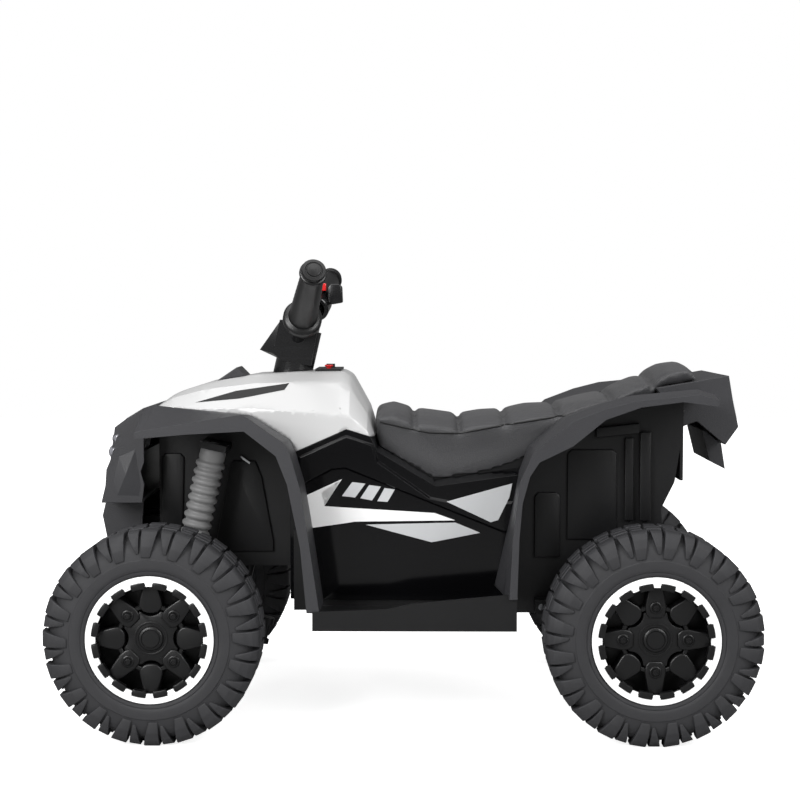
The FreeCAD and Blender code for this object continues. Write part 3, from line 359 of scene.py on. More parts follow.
# Solids by finish
NODE_FINISHES = {
    "charcoal": FENDERS + ("front_bumper", "tail_panel", "rear_mud_flap", "hood_scoop"),
    "gloss_black": SIDE_PANELS,
    "hood_white": ("hood",),
    "tub_black": ("chassis_tub", "seat_base", "dash_panel", "steering_bush", "charge_socket",
                  "direction_switch"),
    "bar_black": ("handlebar_cover", "throttle_housing"),
    "case_black": ("gearbox_cases", "gearbox_covers", "battery", "control_unit"),
    "grip_rubber": ("left_grip", "right_grip"),
    "ring_white": RIM_RINGS,
    "rim_black": tuple(wheel + "_rim" for wheel in WHEEL_NAMES),
    "tyre_tread": tuple(wheel + "_tyre" for wheel in WHEEL_NAMES),
    "button_red": ("throttle_button", "power_button"),
    "lens_clear": ("headlight_lenses",),
    "bright_steel": ("body_screws", "strut_rods", "rear_axle", "drive_motors"),
    "coated_steel": KNUCKLES + ("steering_column", "handlebar_tube", "front_axle_beam", "tie_rod"),
    "gear_nylon": tuple(side + gear for side in ("left_", "right_")
                        for gear in ("output_gear", "reduction_gear", "motor_pinion")),
    "boot_grey": ("shock_boots",),
    "spring_steel": ("strut_springs",),
    "seat_vinyl": ("seat_cushion",),
}
# Solids that show, by the rounding of their edges in millimetres
NODE_ROUNDING = {
    0.5: ("charge_socket",),
    0.6: ("body_screws",),
    0.7: ("power_button",),
    0.8: ("dash_panel", "direction_switch", "headlight_lenses", "tie_rod"),
    0.9: RIM_RINGS,
    1.0: SIDE_PANELS + KNUCKLES + ("gearbox_cases", "throttle_button", "front_axle_beam"),
    1.2: ("chassis_tub", "gearbox_covers"),
    1.5: FENDERS + ("rear_mud_flap", "hood_scoop", "throttle_housing", "control_unit"),
    1.6: ("front_bumper",),
    1.8: ("tail_panel",),
    2.0: ("handlebar_cover", "battery"),
}


def rounded(node, width):
    """Rounds a solid's edges with modifiers; its own mesh stays as it is."""
    weld = node.modifiers.new("Weld", "WELD")
    weld.merge_threshold = MERGE_MM * MM
    flat = node.modifiers.new("Flats", "DECIMATE")
    flat.decimate_type = "DISSOLVE"
    flat.angle_limit = math.radians(0.6)
    bevel = node.modifiers.new("Edges", "BEVEL")
    bevel.width = width * MM
    bevel.segments = 3
    bevel.limit_method = "ANGLE"
    bevel.angle_limit = math.radians(32)
    bevel.harden_normals = True
    bevel.miter_outer = "MITER_ARC"


def keep(name, bm, body, finish, replaced=(), smooth_deg=38):
    """Makes a bmesh drawn in millimetres a piece of the bike."""
    bmesh.ops.transform(bm, matrix=Matrix.Scale(MM, 4), verts=bm.verts)
    mesh = bpy.data.meshes.new(name)
    bm.to_mesh(mesh)
    bm.free()
    mesh.materials.append(MATERIALS[finish])
    mesh.shade_smooth()
    mesh.set_sharp_from_angle(angle=math.radians(smooth_deg))
    piece = bpy.data.objects.new(name, mesh)
    bpy.context.scene.collection.objects.link(piece)
    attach(piece, body)
    if replaced:
        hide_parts(*replaced)
    return piece


def turned(profile, steps, closed=True):
    """A profile of radius and height, turned about Z."""
    bm = bmesh.new()
    verts = [bm.verts.new((radius, 0, height)) for radius, height in profile]
    pairs = list(zip(verts, verts[1:])) + ([(verts[-1], verts[0])] if closed else [])
    edges = [bm.edges.new(pair) for pair in pairs]
    bmesh.ops.spin(bm, geom=verts + edges, cent=(0, 0, 0), axis=(0, 0, 1), dvec=(0, 0, 0), angle=2 * math.pi,
                   steps=steps, use_merge=True)
    bmesh.ops.remove_doubles(bm, verts=bm.verts, dist=0.01)
    bmesh.ops.recalc_face_normals(bm, faces=bm.faces)
    return bm


def eased(bm, edges, width, segments):
    """Rounds edges of a bmesh."""
    bmesh.ops.bevel(bm, geom=list(edges), offset=width, offset_type="OFFSET", segments=segments, profile=0.5,
                    affect="EDGES", material=-1, clamp_overlap=True)


def face_edges(bm):
    """Edges of a rim piece's outer face, above the middle of its depth."""
    return [edge for edge in bm.edges if all(vert.co.z > RIM_FACE for vert in edge.verts)]


def evened(bm, verts, rounds):
    """Draws verts towards the middle of their neighbours."""
    for _ in range(rounds):
        bmesh.ops.smooth_vert(bm, verts=verts, factor=0.5, use_axis_x=True, use_axis_y=True, use_axis_z=True)


def solid_copy(name, sign=0):
    """A merged copy of a solid in millimetres, or of its half on the side that the sign gives."""
    bm = bmesh.new()
    bm.from_mesh(NODES[name].data)
    bmesh.ops.transform(bm, matrix=Matrix.Scale(1 / MM, 4), verts=bm.verts)
    bmesh.ops.delete(bm, geom=[vert for vert in bm.verts if vert.co.y * sign < 0], context="VERTS")
    bmesh.ops.remove_doubles(bm, verts=bm.verts, dist=MERGE_MM)
    return bm


def slab(outline, thickness, edge_round=0.0, segments=2):
    """A closed outline of 3-D points, drawn out by a vector and rounded."""
    bm = bmesh.new()
    face = bm.faces.new([bm.verts.new(point) for point in outline])
    drawn = bmesh.ops.extrude_face_region(bm, geom=[face])
    moved = [item for item in drawn["geom"] if isinstance(item, bmesh.types.BMVert)]
    bmesh.ops.translate(bm, verts=moved, vec=thickness)
    bmesh.ops.recalc_face_normals(bm, faces=bm.faces)
    if edge_round:
        eased(bm, bm.edges, edge_round, segments)
    return bm


def softened(bm, edge_length, rounds, sharp_deg):
    """Divides a shell finely and eases its shallow creases; its sharp rims stay."""
    bmesh.ops.dissolve_limit(bm, angle_limit=math.radians(0.5), verts=bm.verts, edges=bm.edges)
    bmesh.ops.triangulate(bm, faces=bm.faces)
    for _ in range(DIVISIONS):
        long = [edge for edge in bm.edges if edge.calc_length() > edge_length]
        if long:
            bmesh.ops.subdivide_edges(bm, edges=long, cuts=1)
            bmesh.ops.triangulate(bm, faces=bm.faces)
    sharp = math.radians(sharp_deg)
    rims = [edge for edge in bm.edges if not edge.is_manifold or edge.calc_face_angle() > sharp]
    rim_verts = {vert for edge in rims for vert in edge.verts}
    tree = KDTree(len(rim_verts))
    for number, vert in enumerate(rim_verts):
        tree.insert(vert.co, number)
    tree.balance()
    free = [vert for vert in bm.verts if not rim_verts or tree.find(vert.co)[2] > edge_length]
    evened(bm, free, rounds)
    bmesh.ops.recalc_face_normals(bm, faces=bm.faces)


def stamp(bm, part, places, discard=True):
    """Adds copies of one bmesh to another, at each of the given places."""
    mesh = bpy.data.meshes.new("stamp")
    part.to_mesh(mesh)
    for place in places:
        first = len(bm.verts)
        first_face = len(bm.faces)
        bm.from_mesh(mesh)
        bm.verts.ensure_lookup_table()
        bm.faces.ensure_lookup_table()
        bmesh.ops.transform(bm, matrix=place, verts=bm.verts[first:])
        if place.is_negative:
            bmesh.ops.reverse_faces(bm, faces=bm.faces[first_face:])
    bpy.data.meshes.remove(mesh)
    if discard:
        part.free()
    return bm


def around(count, offset_deg=0.0):
    """Turns about Z, evenly spaced."""
    step = 360 / count
    return [Matrix.Rotation(math.radians(offset_deg + number * step), 4, "Z") for number in range(count)]


def wheel_place(wheel):
    """From a wheel drawn about +Z, outer face up, to its place on the bike."""
    side, end = wheel.split("_")
    x = -HALF_BASE if end == "front" else HALF_BASE
    turn = 0 if end == "front" else 45
    left = (Matrix.Translation((x, -HALF_TRACK, AXLE_HEIGHT)) @ Matrix.Rotation(math.radians(90), 4, "X")
            @ Matrix.Rotation(math.radians(turn), 4, "Z"))
    return left if side == "left" else MIRROR @ left


class QUAD_OT_finishes(bpy.types.Operator):
    """Makes the finishes, puts them on the solids and rounds the edges that show"""
    bl_idname = "quad.finishes"
    bl_label = "Finishes"

    def execute(self, context):
        hues = context.scene.quad_finishes
        grained_plastic("charcoal", hues.charcoal, 0.50, 900, 0.34)
        polished_plastic("gloss_black", hues.gloss, 0.09, 0.1, 0.05, 0.04, 0.35)
        polished_plastic("hood_white", hues.white, 0.26, 0.15, 0.02, 0.02)
        grained_plastic("tub_black", hues.tub, 0.42, 1100, 0.20)
        grained_plastic("case_black", hues.tub, 0.52, 800, 0.30)
        polished_plastic("bar_black", hues.tub, 0.24, 0.1)
        polished_plastic("lens_smoke", hues.smoke, 0.12, 0.6)
        tyre_plastic("tyre_tread", hues.tyre)
        grained_plastic("rim_black", hues.rim, 0.36, 1300, 0.16)
        polished_plastic("ring_white", hues.ring, 0.28, 0.2, 0.04, 0.03)
        seat_vinyl("seat_vinyl", hues.vinyl)
        soft_rubber("boot_grey", hues.boot, 0.48)
        soft_rubber("grip_rubber", hues.rubber, 0.34)
        polished_plastic("lens_clear", hues.silver, 0.06, 1.0, 0.08, 0.06)
        metal("bright_steel", hues.steel, 0.20)
        metal("spring_steel", hues.steel, 0.32)
        grained_plastic("coated_steel", hues.tub, 0.34, 1500, 0.14)
        grained_plastic("gear_nylon", hues.nylon, 0.45, 900, 0.12)
        polished_plastic("button_red", hues.red, 0.22, 0.3)
        metal("plated_trim", hues.silver, 0.12)
        film("film_white", hues.ring, 0.22, 0.0)
        film("film_silver", hues.silver, 0.26, 0.35)
        film("film_dark", hues.tub, 0.48, 0.0, 0.0)
        for finish, names in NODE_FINISHES.items():
            for name in names:
                node = NODES[name]
                node.data.materials.clear()
                node.data.materials.append(MATERIALS[finish])
        for width, names in NODE_ROUNDING.items():
            for name in names:
                rounded(NODES[name], width)
        return {"FINISHED"}


class QUAD_OT_tyres(bpy.types.Operator):
    """Moulded tyres with stepped side walls and three rows of blocks a side"""
    bl_idname = "quad.tyres"
    bl_label = "Tyres"

    # Outlines of radius and width, in millimetres
    CARCASS = ((82.4, 42), (82.4, 47.6), (83.4, 49.4), (86.0, 50.6), (87.6, 50.8), (88.2, 49.9), (89.0, 51.1),
               (93.0, 51.8), (98.0, 52.0), (102.2, 51.8), (103.0, 50.6), (104.0, 50.4), (110.0, 49.4),
               (116.0, 47.6), (122.0, 44.4), (127.0, 40.0), (131.0, 33.0), (133.6, 22.0), (134.4, 8.0))
    SHOULDER = ((AXLE_HEIGHT, 18), (AXLE_HEIGHT, 36), (AXLE_HEIGHT - 2, 41), (131, 47.2), (120, 51.4),
                (106, 52), (105, 49), (118, 43), (130, 30), (131, 18))
    BETWEEN = ((AXLE_HEIGHT - 0.4, 19), (AXLE_HEIGHT - 0.4, 34), (137, 39.5), (130, 46.6), (121, 50.2),
               (111, 51), (110, 47), (124, 38), (130, 19))
    CROWN = ((AXLE_HEIGHT, 1.5), (AXLE_HEIGHT, 15.5), (131, 15.5), (131, 1.5))
    WALL_RADIUS = 104
    TREAD_DEPTH = 30

    def carcass(self, sizes):
        far = tuple((radius, -height) for radius, height in self.CARCASS[::-1])
        return turned(self.CARCASS + far, sizes.turns)

    def block(self, outline, span, skew, narrow, sizes):
        """A tread block over an outline, as long as span, its foot narrowed and skewed along the tread."""
        bm = slab([(radius, -span / 2, height) for radius, height in outline], (0, span, 0))
        top = max(radius for radius, height in outline)
        low = min(radius for radius, height in outline)
        for vert in bm.verts:
            share = (top - vert.co.x) / (top - low)
            vert.co.y = vert.co.y * (1 - narrow * share) + skew * share
        eased(bm, bm.edges, sizes.lug_round / MM, 2)
        return bm

    def tyre(self, sizes):
        bm = self.carcass(sizes)
        pitch = 360 / sizes.lug_count
        span = sizes.lug_length / MM
        rows = [(self.block(self.SHOULDER, span, 4, 0.45, sizes), -90),
                (self.block(self.BETWEEN, span * 0.72, -3, 0.75, sizes), -90 + pitch / 2),
                (self.block(self.CROWN, span * 0.95, 0, 0, sizes), -90 + pitch / 2),
                (self.block(self.CROWN, span * 0.70, 0, 0, sizes), -90)]
        for part, offset in rows:
            turns = around(sizes.lug_count, offset)
            stamp(bm, part, turns + [turn @ Matrix.Scale(-1, 4, (0, 0, 1)) for turn in turns])
        layer = bm.verts.layers.float.new("wear")
        bm.normal_update()
        for vert in bm.verts:
            edge = min(1, max(0, vert.calc_shell_factor() - 1.02) * 5)
            radius = math.hypot(vert.co.x, vert.co.y)
            reach = min(1, max(0, (radius - self.WALL_RADIUS) / self.TREAD_DEPTH))
            vert[layer] = edge * (0.45 + 0.55 * reach) + 0.25 * reach
        return bm

    def execute(self, context):
        made = self.tyre(context.scene.quad_wheels)
        for wheel in WHEEL_NAMES:
            bm = stamp(bmesh.new(), made, [wheel_place(wheel)], discard=False)
            keep(wheel + "_tread", bm, wheel + "_wheel", "tyre_tread", (wheel + "_tyre",), 50)
        made.free()
        return {"FINISHED"}


class QUAD_OT_rims(bpy.types.Operator):
    """Dished rims with bevelled spokes, screw pads and a plain cap, and the bolts of the bead rings"""
    bl_idname = "quad.rims"
    bl_label = "Rims"

    # Outlines of radius and height to turn, or seen from outside, in millimetres
    BARREL = ((82, -48), (82, 47.6), (80, 48), (70.5, 48), (68.8, 46.4), (68.6, 43), (73, 38.5), (76.8, 32),
              (78, 26), (78, -46), (79, -48))
    DISH = ((78.4, 7), (78.4, 10), (60, 12), (40, 12), (36, 14), (19, 14), (19, 7))
    HUB = ((0, 42.4), (11, 42.2), (11.6, 41.4), (12.2, 42.2), (14.2, 41.8), (15.8, 40.6), (16.4, 38.6),
           (16.5, 36.4), (18.4, 36.2), (19.2, 38.4), (20.4, 38.8), (21.6, 38.4), (22, 37.4), (22, 20),
           (20, 18), (20, -47), (19, -48), (0, -48))
    SHORT = ((47, 14.6), (42, 15), (38, 13), (34.6, 9), (33, 4.5), (32.8, 0), (33, -4.5), (34.6, -9),
             (38, -13), (42, -15), (47, -14.6))
    LONG = ((52, 11.8), (42, 13.6), (33, 12.4), (28, 8), (28, -8), (33, -12.4), (42, -13.6), (52, -11.8))
    PAD = ((0, 41.6), (5.2, 41.6), (5.8, 42.2), (7.2, 42.0), (8.0, 41.2), (8.2, 39.6), (8.2, 30), (0, 30))
    SCREW = ((0, 43.4), (2.2, 43.4), (2.6, 44.4), (3.6, 44.2), (4.4, 43.2), (4.5, 41), (0, 41))
    WEB = ((39, 24), (39, 37.4), (40, 38.4), (43.4, 38.4), (44.6, 37.2), (45.2, 24))
    BOLT = ((0, 53.6), (1.5, 53.4), (2.4, 52.6), (2.6, 51.4), (0, 51.4))
    SCALLOP_PLACE, SCALLOP_RADIUS, PLATE_RADIUS = 46, 17.2, 37
    PLATE_STEPS = 144
    TEETH, TOOTH_ROOT, TOOTH_TIP = 16, 66, 74.4
    SCREW_PLACE, BOLT_PLACE = 41.5, 73.6

    def spoke(self, outline, sizes):
        """A spoke over an outline, its face rising a little outwards, with rounded upper edges."""
        bm = slab([(x, y, 22) for x, y in outline], (0, 0, 18.4))
        for vert in bm.verts:
            if vert.co.z > RIM_FACE:
                vert.co.z += 2.2 * max(0, vert.co.x - 46) / 34
        eased(bm, face_edges(bm), sizes.spoke_round / MM, 3)
        return bm

    def hub_plate(self):
        """The plate round the cap, scalloped where every other spoke ends short of it."""
        points = []
        for step in range(self.PLATE_STEPS):
            angle = step * math.tau / self.PLATE_STEPS
            off = abs((angle + math.pi / 4) % (math.pi / 2) - math.pi / 4)
            reach = self.PLATE_RADIUS
            aside = self.SCALLOP_PLACE * math.sin(off)
            if aside < self.SCALLOP_RADIUS:
                bite = math.sqrt(self.SCALLOP_RADIUS ** 2 - aside ** 2)
                reach = min(reach, self.SCALLOP_PLACE * math.cos(off) - bite)
            points.append((reach * math.cos(angle), reach * math.sin(angle), 20))
        bm = slab(points, (0, 0, 17.6))
        eased(bm, face_edges(bm), 1.2, 2)
        return bm

    def tooth(self):
        """A black tooth between two tabs of the bead ring."""
        arc = [math.radians(angle) for angle in (-7.2, -3.6, 0, 3.6, 7.2)]
        points = [(self.TOOTH_ROOT * math.cos(a), self.TOOTH_ROOT * math.sin(a), 43) for a in arc]
        points += [(self.TOOTH_TIP * math.cos(a), self.TOOTH_TIP * math.sin(a), 43) for a in arc[::-1]]
        return slab(points, (0, 0, 9.4), 0.7)

    def rim(self, sizes):
        bm = turned(self.BARREL, sizes.turns)
        stamp(bm, turned(self.DISH, 64), [Matrix()])
        stamp(bm, turned(self.HUB, 96, False), [Matrix()])
        stamp(bm, self.hub_plate(), [Matrix()])
        tip = sizes.spoke_tip / MM / 2
        foot = ((80, -tip), (80, tip))
        turns = around(sizes.spoke_count)
        stamp(bm, self.spoke(foot + self.SHORT, sizes), turns[0::2])
        stamp(bm, self.spoke(foot + self.LONG, sizes), turns[1::2])
        places = [turn @ Matrix.Translation((self.SCREW_PLACE, 0, 0)) for turn in turns[1::2]]
        stamp(bm, turned(self.PAD, 40, False), places)
        stamp(bm, turned(self.SCREW, 20, False), places)
        stamp(bm, self.tooth(), around(self.TEETH, 180 / self.TEETH))
        stamp(bm, turned(self.WEB, 96), [Matrix()])
        return bm

    def execute(self, context):
        made = self.rim(context.scene.quad_wheels)
        for wheel in WHEEL_NAMES:
            bm = stamp(bmesh.new(), made, [wheel_place(wheel)], discard=False)
            keep(wheel + "_spokes", bm, wheel + "_wheel", "rim_black", (wheel + "_rim",))
            bolts = bmesh.new()
            bolt = turned(self.BOLT, 14, False)
            places = [turn @ Matrix.Translation((self.BOLT_PLACE, 0, 0)) for turn in around(self.TEETH)]
            stamp(bolts, bolt, [wheel_place(wheel) @ place for place in places])
            keep(wheel + "_ring_bolts", bolts, wheel + "_wheel", "ring_white")
        made.free()
        return {"FINISHED"}


class QUAD_OT_seat(bpy.types.Operator):
    """Stuffs the seat by a cloth run, then sews its cross channels and lays the piping"""
    bl_idname = "quad.seat"
    bl_label = "Seat"

    CHANNELS = (13.6, 75.6, 138.4, 212, 285, 340)
    FOOT_NORMAL = -0.3
    SWELL_FRAMES = 20
    PIPING_SIDES = 10

    def merged_copy(self, node):
        bm = bmesh.new()
        bm.from_mesh(node.data)
        bmesh.ops.remove_doubles(bm, verts=bm.verts, dist=MERGE_MM * MM)
        mesh = bpy.data.meshes.new("seat_pad")
        bm.to_mesh(mesh)
        bm.free()
        piece = bpy.data.objects.new("seat_pad", mesh)
        bpy.context.scene.collection.objects.link(piece)
        return piece

    def applied(self, piece):
        """The mesh that the piece's modifiers give."""
        graph = bpy.context.evaluated_depsgraph_get()
        mesh = bpy.data.meshes.new_from_object(piece.evaluated_get(graph))
        piece.modifiers.clear()
        old = piece.data
        piece.data = mesh
        bpy.data.meshes.remove(old)

    def swell(self, piece, sizes):
        """Swells the cover by air pressure; its foot is held, and no point moves beyond the cap."""
        rest = [vert.co.copy() for vert in piece.data.vertices]
        normals = [vert.normal.copy() for vert in piece.data.vertices]
        held = piece.vertex_groups.new(name="held")
        for vert, normal in zip(piece.data.vertices, normals):
            if normal.z < self.FOOT_NORMAL:
                held.add([vert.index], 1.0, "REPLACE")
        cloth = piece.modifiers.new("Padding", "CLOTH")
        cloth.settings.use_pressure = True
        cloth.settings.uniform_pressure_force = sizes.pressure
        cloth.settings.effector_weights.gravity = 0
        cloth.settings.vertex_group_mass = "held"
        cloth.settings.quality = 6
        cloth.point_cache.frame_start = 1
        cloth.point_cache.frame_end = self.SWELL_FRAMES
        scene = bpy.context.scene
        for number in range(1, self.SWELL_FRAMES + 1):
            scene.frame_set(number)
        self.applied(piece)
        scene.frame_set(1)
        cap = sizes.swell
        for vert, before in zip(piece.data.vertices, rest):
            step = vert.co - before
            if step.length > cap:
                vert.co = before + step * (cap / step.length)
        piece.vertex_groups.clear()

    def sew(self, piece, sizes):
        """Draws the cover in along each cross channel, down to the seam."""
        width = sizes.channel_width
        normals = [vert.normal.copy() for vert in piece.data.vertices]
        for vert, normal in zip(piece.data.vertices, normals):
            if normal.z < self.FOOT_NORMAL:
                continue
            low = seam_height(vert.co.x) - 0.004
            fade = min(1, max(0, (vert.co.z - low) / 0.012))
            for place in self.CHANNELS:
                across = (vert.co.x - place * MM) / width
                vert.co -= normal * (sizes.channel_depth * math.exp(-across * across * 2.2) * fade)

    def tauten(self, piece, rounds):
        """Pulls the cover smooth on its sides, below the seam."""
        bm = bmesh.new()
        bm.from_mesh(piece.data)
        bm.normal_update()
        drawn = [vert for vert in bm.verts
                 if vert.co.z < seam_height(vert.co.x) + 0.001 and abs(vert.normal.z) < 0.75]
        evened(bm, drawn, rounds)
        bm.to_mesh(piece.data)
        bm.free()

    def lay_piping(self, piece, sizes):
        """Lays the piping of both side seams on the cover."""
        tree = BVHTree.FromObject(piece, bpy.context.evaluated_depsgraph_get())
        angles = [place * math.tau / self.PIPING_SIDES for place in range(self.PIPING_SIDES)]
        spots = [Vector((math.cos(a), math.sin(a), 0)) * (sizes.piping / MM) for a in angles]
        for name, sign in SIDES:
            points = []
            for step in range(80):
                x = (-36 + step * 3.4) * MM
                hit = tree.ray_cast(Vector((x, sign * OUTSIDE, seam_height(x))), Vector((0, -sign, 0)))[0]
                if hit is not None:
                    points.append(hit / MM)
            bm = bmesh.new()
            rings = []
            for before, here, after in zip(points, points[1:], points[2:]):
                turn = (after - before).to_track_quat("Z", "X").to_matrix()
                rings.append([bm.verts.new(here + turn @ spot) for spot in spots])
            for first, second in zip(rings, rings[1:]):
                for place in range(self.PIPING_SIDES):
                    bm.faces.new((first[place], first[place - 1], second[place - 1], second[place]))
            bm.faces.new(rings[0])
            bm.faces.new(rings[-1][::-1])
            bmesh.ops.recalc_face_normals(bm, faces=bm.faces)
            keep(name + "_seat_piping", bm, "chassis", "grip_rubber")

    def execute(self, context):
        sizes = context.scene.quad_seat
        piece = self.merged_copy(NODES["seat_cushion"])
        remesh = piece.modifiers.new("Voxels", "REMESH")
        remesh.mode = "VOXEL"
        remesh.voxel_size = sizes.voxel
        self.applied(piece)
        self.swell(piece, sizes)
        smooth = piece.modifiers.new("Fine", "SUBSURF")
        smooth.levels = 1
        smooth.render_levels = 1
        self.applied(piece)
        self.tauten(piece, 60)
        self.sew(piece, sizes)
        self.lay_piping(piece, sizes)
        piece.data.materials.clear()
        piece.data.materials.append(MATERIALS["seat_vinyl"])
        piece.data.shade_smooth()
        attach(piece, "chassis")
        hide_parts("seat_cushion")
        return {"FINISHED"}


SEAM_LINE = ((-38, 407), (0, 398), (34, 391), (75, 390), (141, 402), (223, 415), (300, 434), (386, 460))


def seam_height(x):
    """Height of the seat's side seam at a place along the bike, in metres."""
    x = x / MM
    for (x0, z0), (x1, z1) in zip(SEAM_LINE, SEAM_LINE[1:]):
        if x <= x1:
            return (z0 + (z1 - z0) * max(0, x - x0) / (x1 - x0)) * MM
    return SEAM_LINE[-1][1] * MM


class QUAD_OT_hood(bpy.types.Operator):
    """Hood shell with soft creases, from the solid"""
    bl_idname = "quad.hood"
    bl_label = "Hood"

    def execute(self, context):
        bm = solid_copy("hood")
        softened(bm, 6, 16, 60)
        keep("hood_shell", bm, "chassis", "hood_white", ("hood",), 50)
        return {"FINISHED"}


class QUAD_OT_boots(bpy.types.Operator):
    """Ribbed boots over the front struts, and the springs inside them"""
    bl_idname = "quad.boots"
    bl_label = "Shock boots"

    def spring(self, side, sign, axis):
        """One side's spring from the solid, at the solid's own length."""
        bm = solid_copy("strut_springs", sign)
        places = [vert.co.dot(axis) for vert in bm.verts]
        name = side + "_strut_spring"
        piece = keep(name, bm, "chassis", "spring_steel", ("strut_springs",), 40)
        1 - SUSPENSION_TRAVEL / (max(places) - min(places))
        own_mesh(piece)

    def execute(self, context):
        low, high, collar, count = 33.0, 238.0, 15.0, 16
        pitch = (high - collar - low) / count
        wave = (0.0, 0.10, 0.70, 0.96, 1.0, 0.96, 0.70, 0.10)
        profile = []
        for rib in range(count):
            for step, share in enumerate(wave):
                profile.append((16.4 + 3.6 * share, low + (rib + step / len(wave)) * pitch))
        profile += [(16.4, high - collar), (17.4, high - collar + 1.5), (17.4, high - 1), (16.8, high),
                    (14.6, high), (14.6, low)]
        made = turned(profile, 64)
        axis = RAKE.to_3x3() @ Vector((0, 0, 1))
        for side, sign in SIDES:
            place = RAKE @ Matrix.Translation((0, sign * KINGPIN_HALF_TRACK, 0))
            bm = stamp(bmesh.new(), made, [place], discard=False)
            piece = keep(side + "_boot", bm, "chassis", "boot_grey", ("shock_boots",), 60)
            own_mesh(piece)
            self.spring(side, sign, axis)
        made.free()
        return {"FINISHED"}


def bar_place(y):
    """From a piece drawn along +Z to the left handlebar, with its start at a width; +Z runs outwards."""
    start = BAR_MIDDLE + BAR_REACH * (y / BAR_REACH.y)
    return Matrix.Translation(start) @ BAR_REACH.to_track_quat("Z", "X").to_matrix().to_4x4()


class QUAD_OT_handlebar(bpy.types.Operator):
    """Grips with collars and end plugs, and the trim on the throttle"""
    bl_idname = "quad.handlebar"
    bl_label = "Handlebar"

    # Places across the bike, in millimetres
    GRIP_START, GRIP_END, RIGHT_START, CLAMP_START = 70, 205, 129, 104

    def sleeve(self, radius, taper, low, run, steps):
        """Profile of a grip's sleeve, tapered and rippled."""
        return [(radius - taper * step / steps + (0.25 if step % 2 else -0.15), low + run * step / steps)
                for step in range(1, steps)]

    def execute(self, context):
        per_width = BAR_REACH.length / -BAR_REACH.y
        end = (self.GRIP_END - self.GRIP_START) * per_width
        tail = [(15.4, end - 13), (17.6, end - 12.4), (18.2, end - 11), (18.2, end - 8.4), (17.4, end - 7.4),
                (14.6, end - 7), (14.6, end - 5.6), (15.6, end - 5), (16.2, end - 3.8), (16.2, end - 1.2),
                (15.4, end), (11.6, end + 0.4), (10.8, end - 0.6), (9.8, end - 0.6), (9.2, end + 0.6),
                (4, end + 1.4), (0, end + 1.6)]
        left = [(0, 1), (22, 0), (25.6, 0.6), (27, 2.2), (27, 10.6), (25.8, 12.8), (22.6, 13.8), (20.2, 15),
                (19.5, 18)] + self.sleeve(19.5, 4.1, 18, end - 34, 20)
        start = (self.RIGHT_START - self.GRIP_START) * per_width
        right = [(0, start + 0.6), (15, start + 0.6), (17.6, start + 1.2),
                 (18.4, start + 2.6)] + self.sleeve(18.4, 3, start + 3, end - 18 - start, 12)
        near = bar_place(-self.GRIP_START)
        for side, profile, place in (("left", left, near), ("right", right, MIRROR @ near)):
            bm = stamp(bmesh.new(), turned(profile + tail, 64, False), [place])
            keep(side + "_grip_sleeve", bm, "handlebar", "grip_rubber", (side + "_grip",), 50)
        self.throttle_pod()
        return {"FINISHED"}

    def throttle_pod(self):
        """The housing beside the right grip: a clamp round the tube and a pod behind it."""
        clamp = turned([(14.6, 0), (19.2, 0), (20.4, 1.4), (20.4, 25.6), (19.2, 27), (14.6, 27)], 48)
        bm = stamp(bmesh.new(), clamp, [MIRROR @ bar_place(-self.CLAMP_START)])
        middle = BAR_MIDDLE - BAR_REACH * (116 / BAR_REACH.y)
        outline = [(17, 4), (16.4, 27), (20.4, 32), (33, 32.4), (38, 28), (39, 4), (22, 1)]
        pod = slab([(middle.x + x, 105, middle.z + z) for x, z in outline], (0, 22, 0), 2.2, 3)
        stamp(bm, pod, [Matrix()])
        keep("throttle_pod", bm, "handlebar", "bar_black", ("throttle_housing",), 40)
        outline = [(1, 21.5), (2.5, 28), (6, 32), (14, 33), (14.4, 21.5)]
        paddle = slab([(middle.x + x, 107, middle.z + z) for x, z in outline], (0, 18, 0), 1.4, 3)
        keep("throttle_paddle", paddle, "throttle", "button_red", ("throttle_button",), 40)


def laid_on(node, points, side=-1, lift=0.35, edge=4.0, flat=False):
    """A thin film over a closed side outline of X and Z, laid on a solid from the given side."""
    target = bmesh.new()
    target.from_mesh(node.data)
    tree = BVHTree.FromBMesh(target)
    bm = bmesh.new()
    face = bm.faces.new([bm.verts.new((x * MM, side * OUTSIDE, z * MM)) for x, z in points])
    bmesh.ops.triangulate(bm, faces=[face])
    for _ in range(DIVISIONS + 1):
        long = [item for item in bm.edges if item.calc_length() > edge * MM]
        if long:
            bmesh.ops.subdivide_edges(bm, edges=long, cuts=1, use_grid_fill=False)
            bmesh.ops.triangulate(bm, faces=bm.faces)
    for vert in bm.verts:
        hit = tree.ray_cast(vert.co, Vector((0, -side, 0)))[0]
        if hit is None:
            raise RuntimeError("a film point misses its panel at %.3f, %.3f" % (vert.co.x, vert.co.z))
        vert.co.y = hit.y + side * lift * MM
    if flat:
        outer = max(bm.verts, key=lambda vert: vert.co.y * side).co.y
        for vert in bm.verts:
            vert.co.y = outer
    target.free()
    bmesh.ops.transform(bm, matrix=Matrix.Scale(1 / MM, 4), verts=bm.verts)
    bmesh.ops.recalc_face_normals(bm, faces=bm.faces)
    if sum(item.normal.y * item.calc_area() for item in bm.faces) * side < 0:
        bmesh.ops.reverse_faces(bm, faces=bm.faces)
    return bm


def wall_at(names, x, z, sign):
    """Width of the first of some solids met from one side at a place, all in millimetres."""
    best = 0
    for name in names:
        bm = bmesh.new()
        bm.from_mesh(NODES[name].data)
        start = Vector((x * MM, sign * OUTSIDE, z * MM))
        hit = BVHTree.FromBMesh(bm).ray_cast(start, Vector((0, -sign, 0)))[0]
        bm.free()
        if hit is not None:
            best = max(best, abs(hit.y) / MM)
    if not best:
        raise RuntimeError("no wall at %.1f, %.1f" % (x, z))
    return sign * best


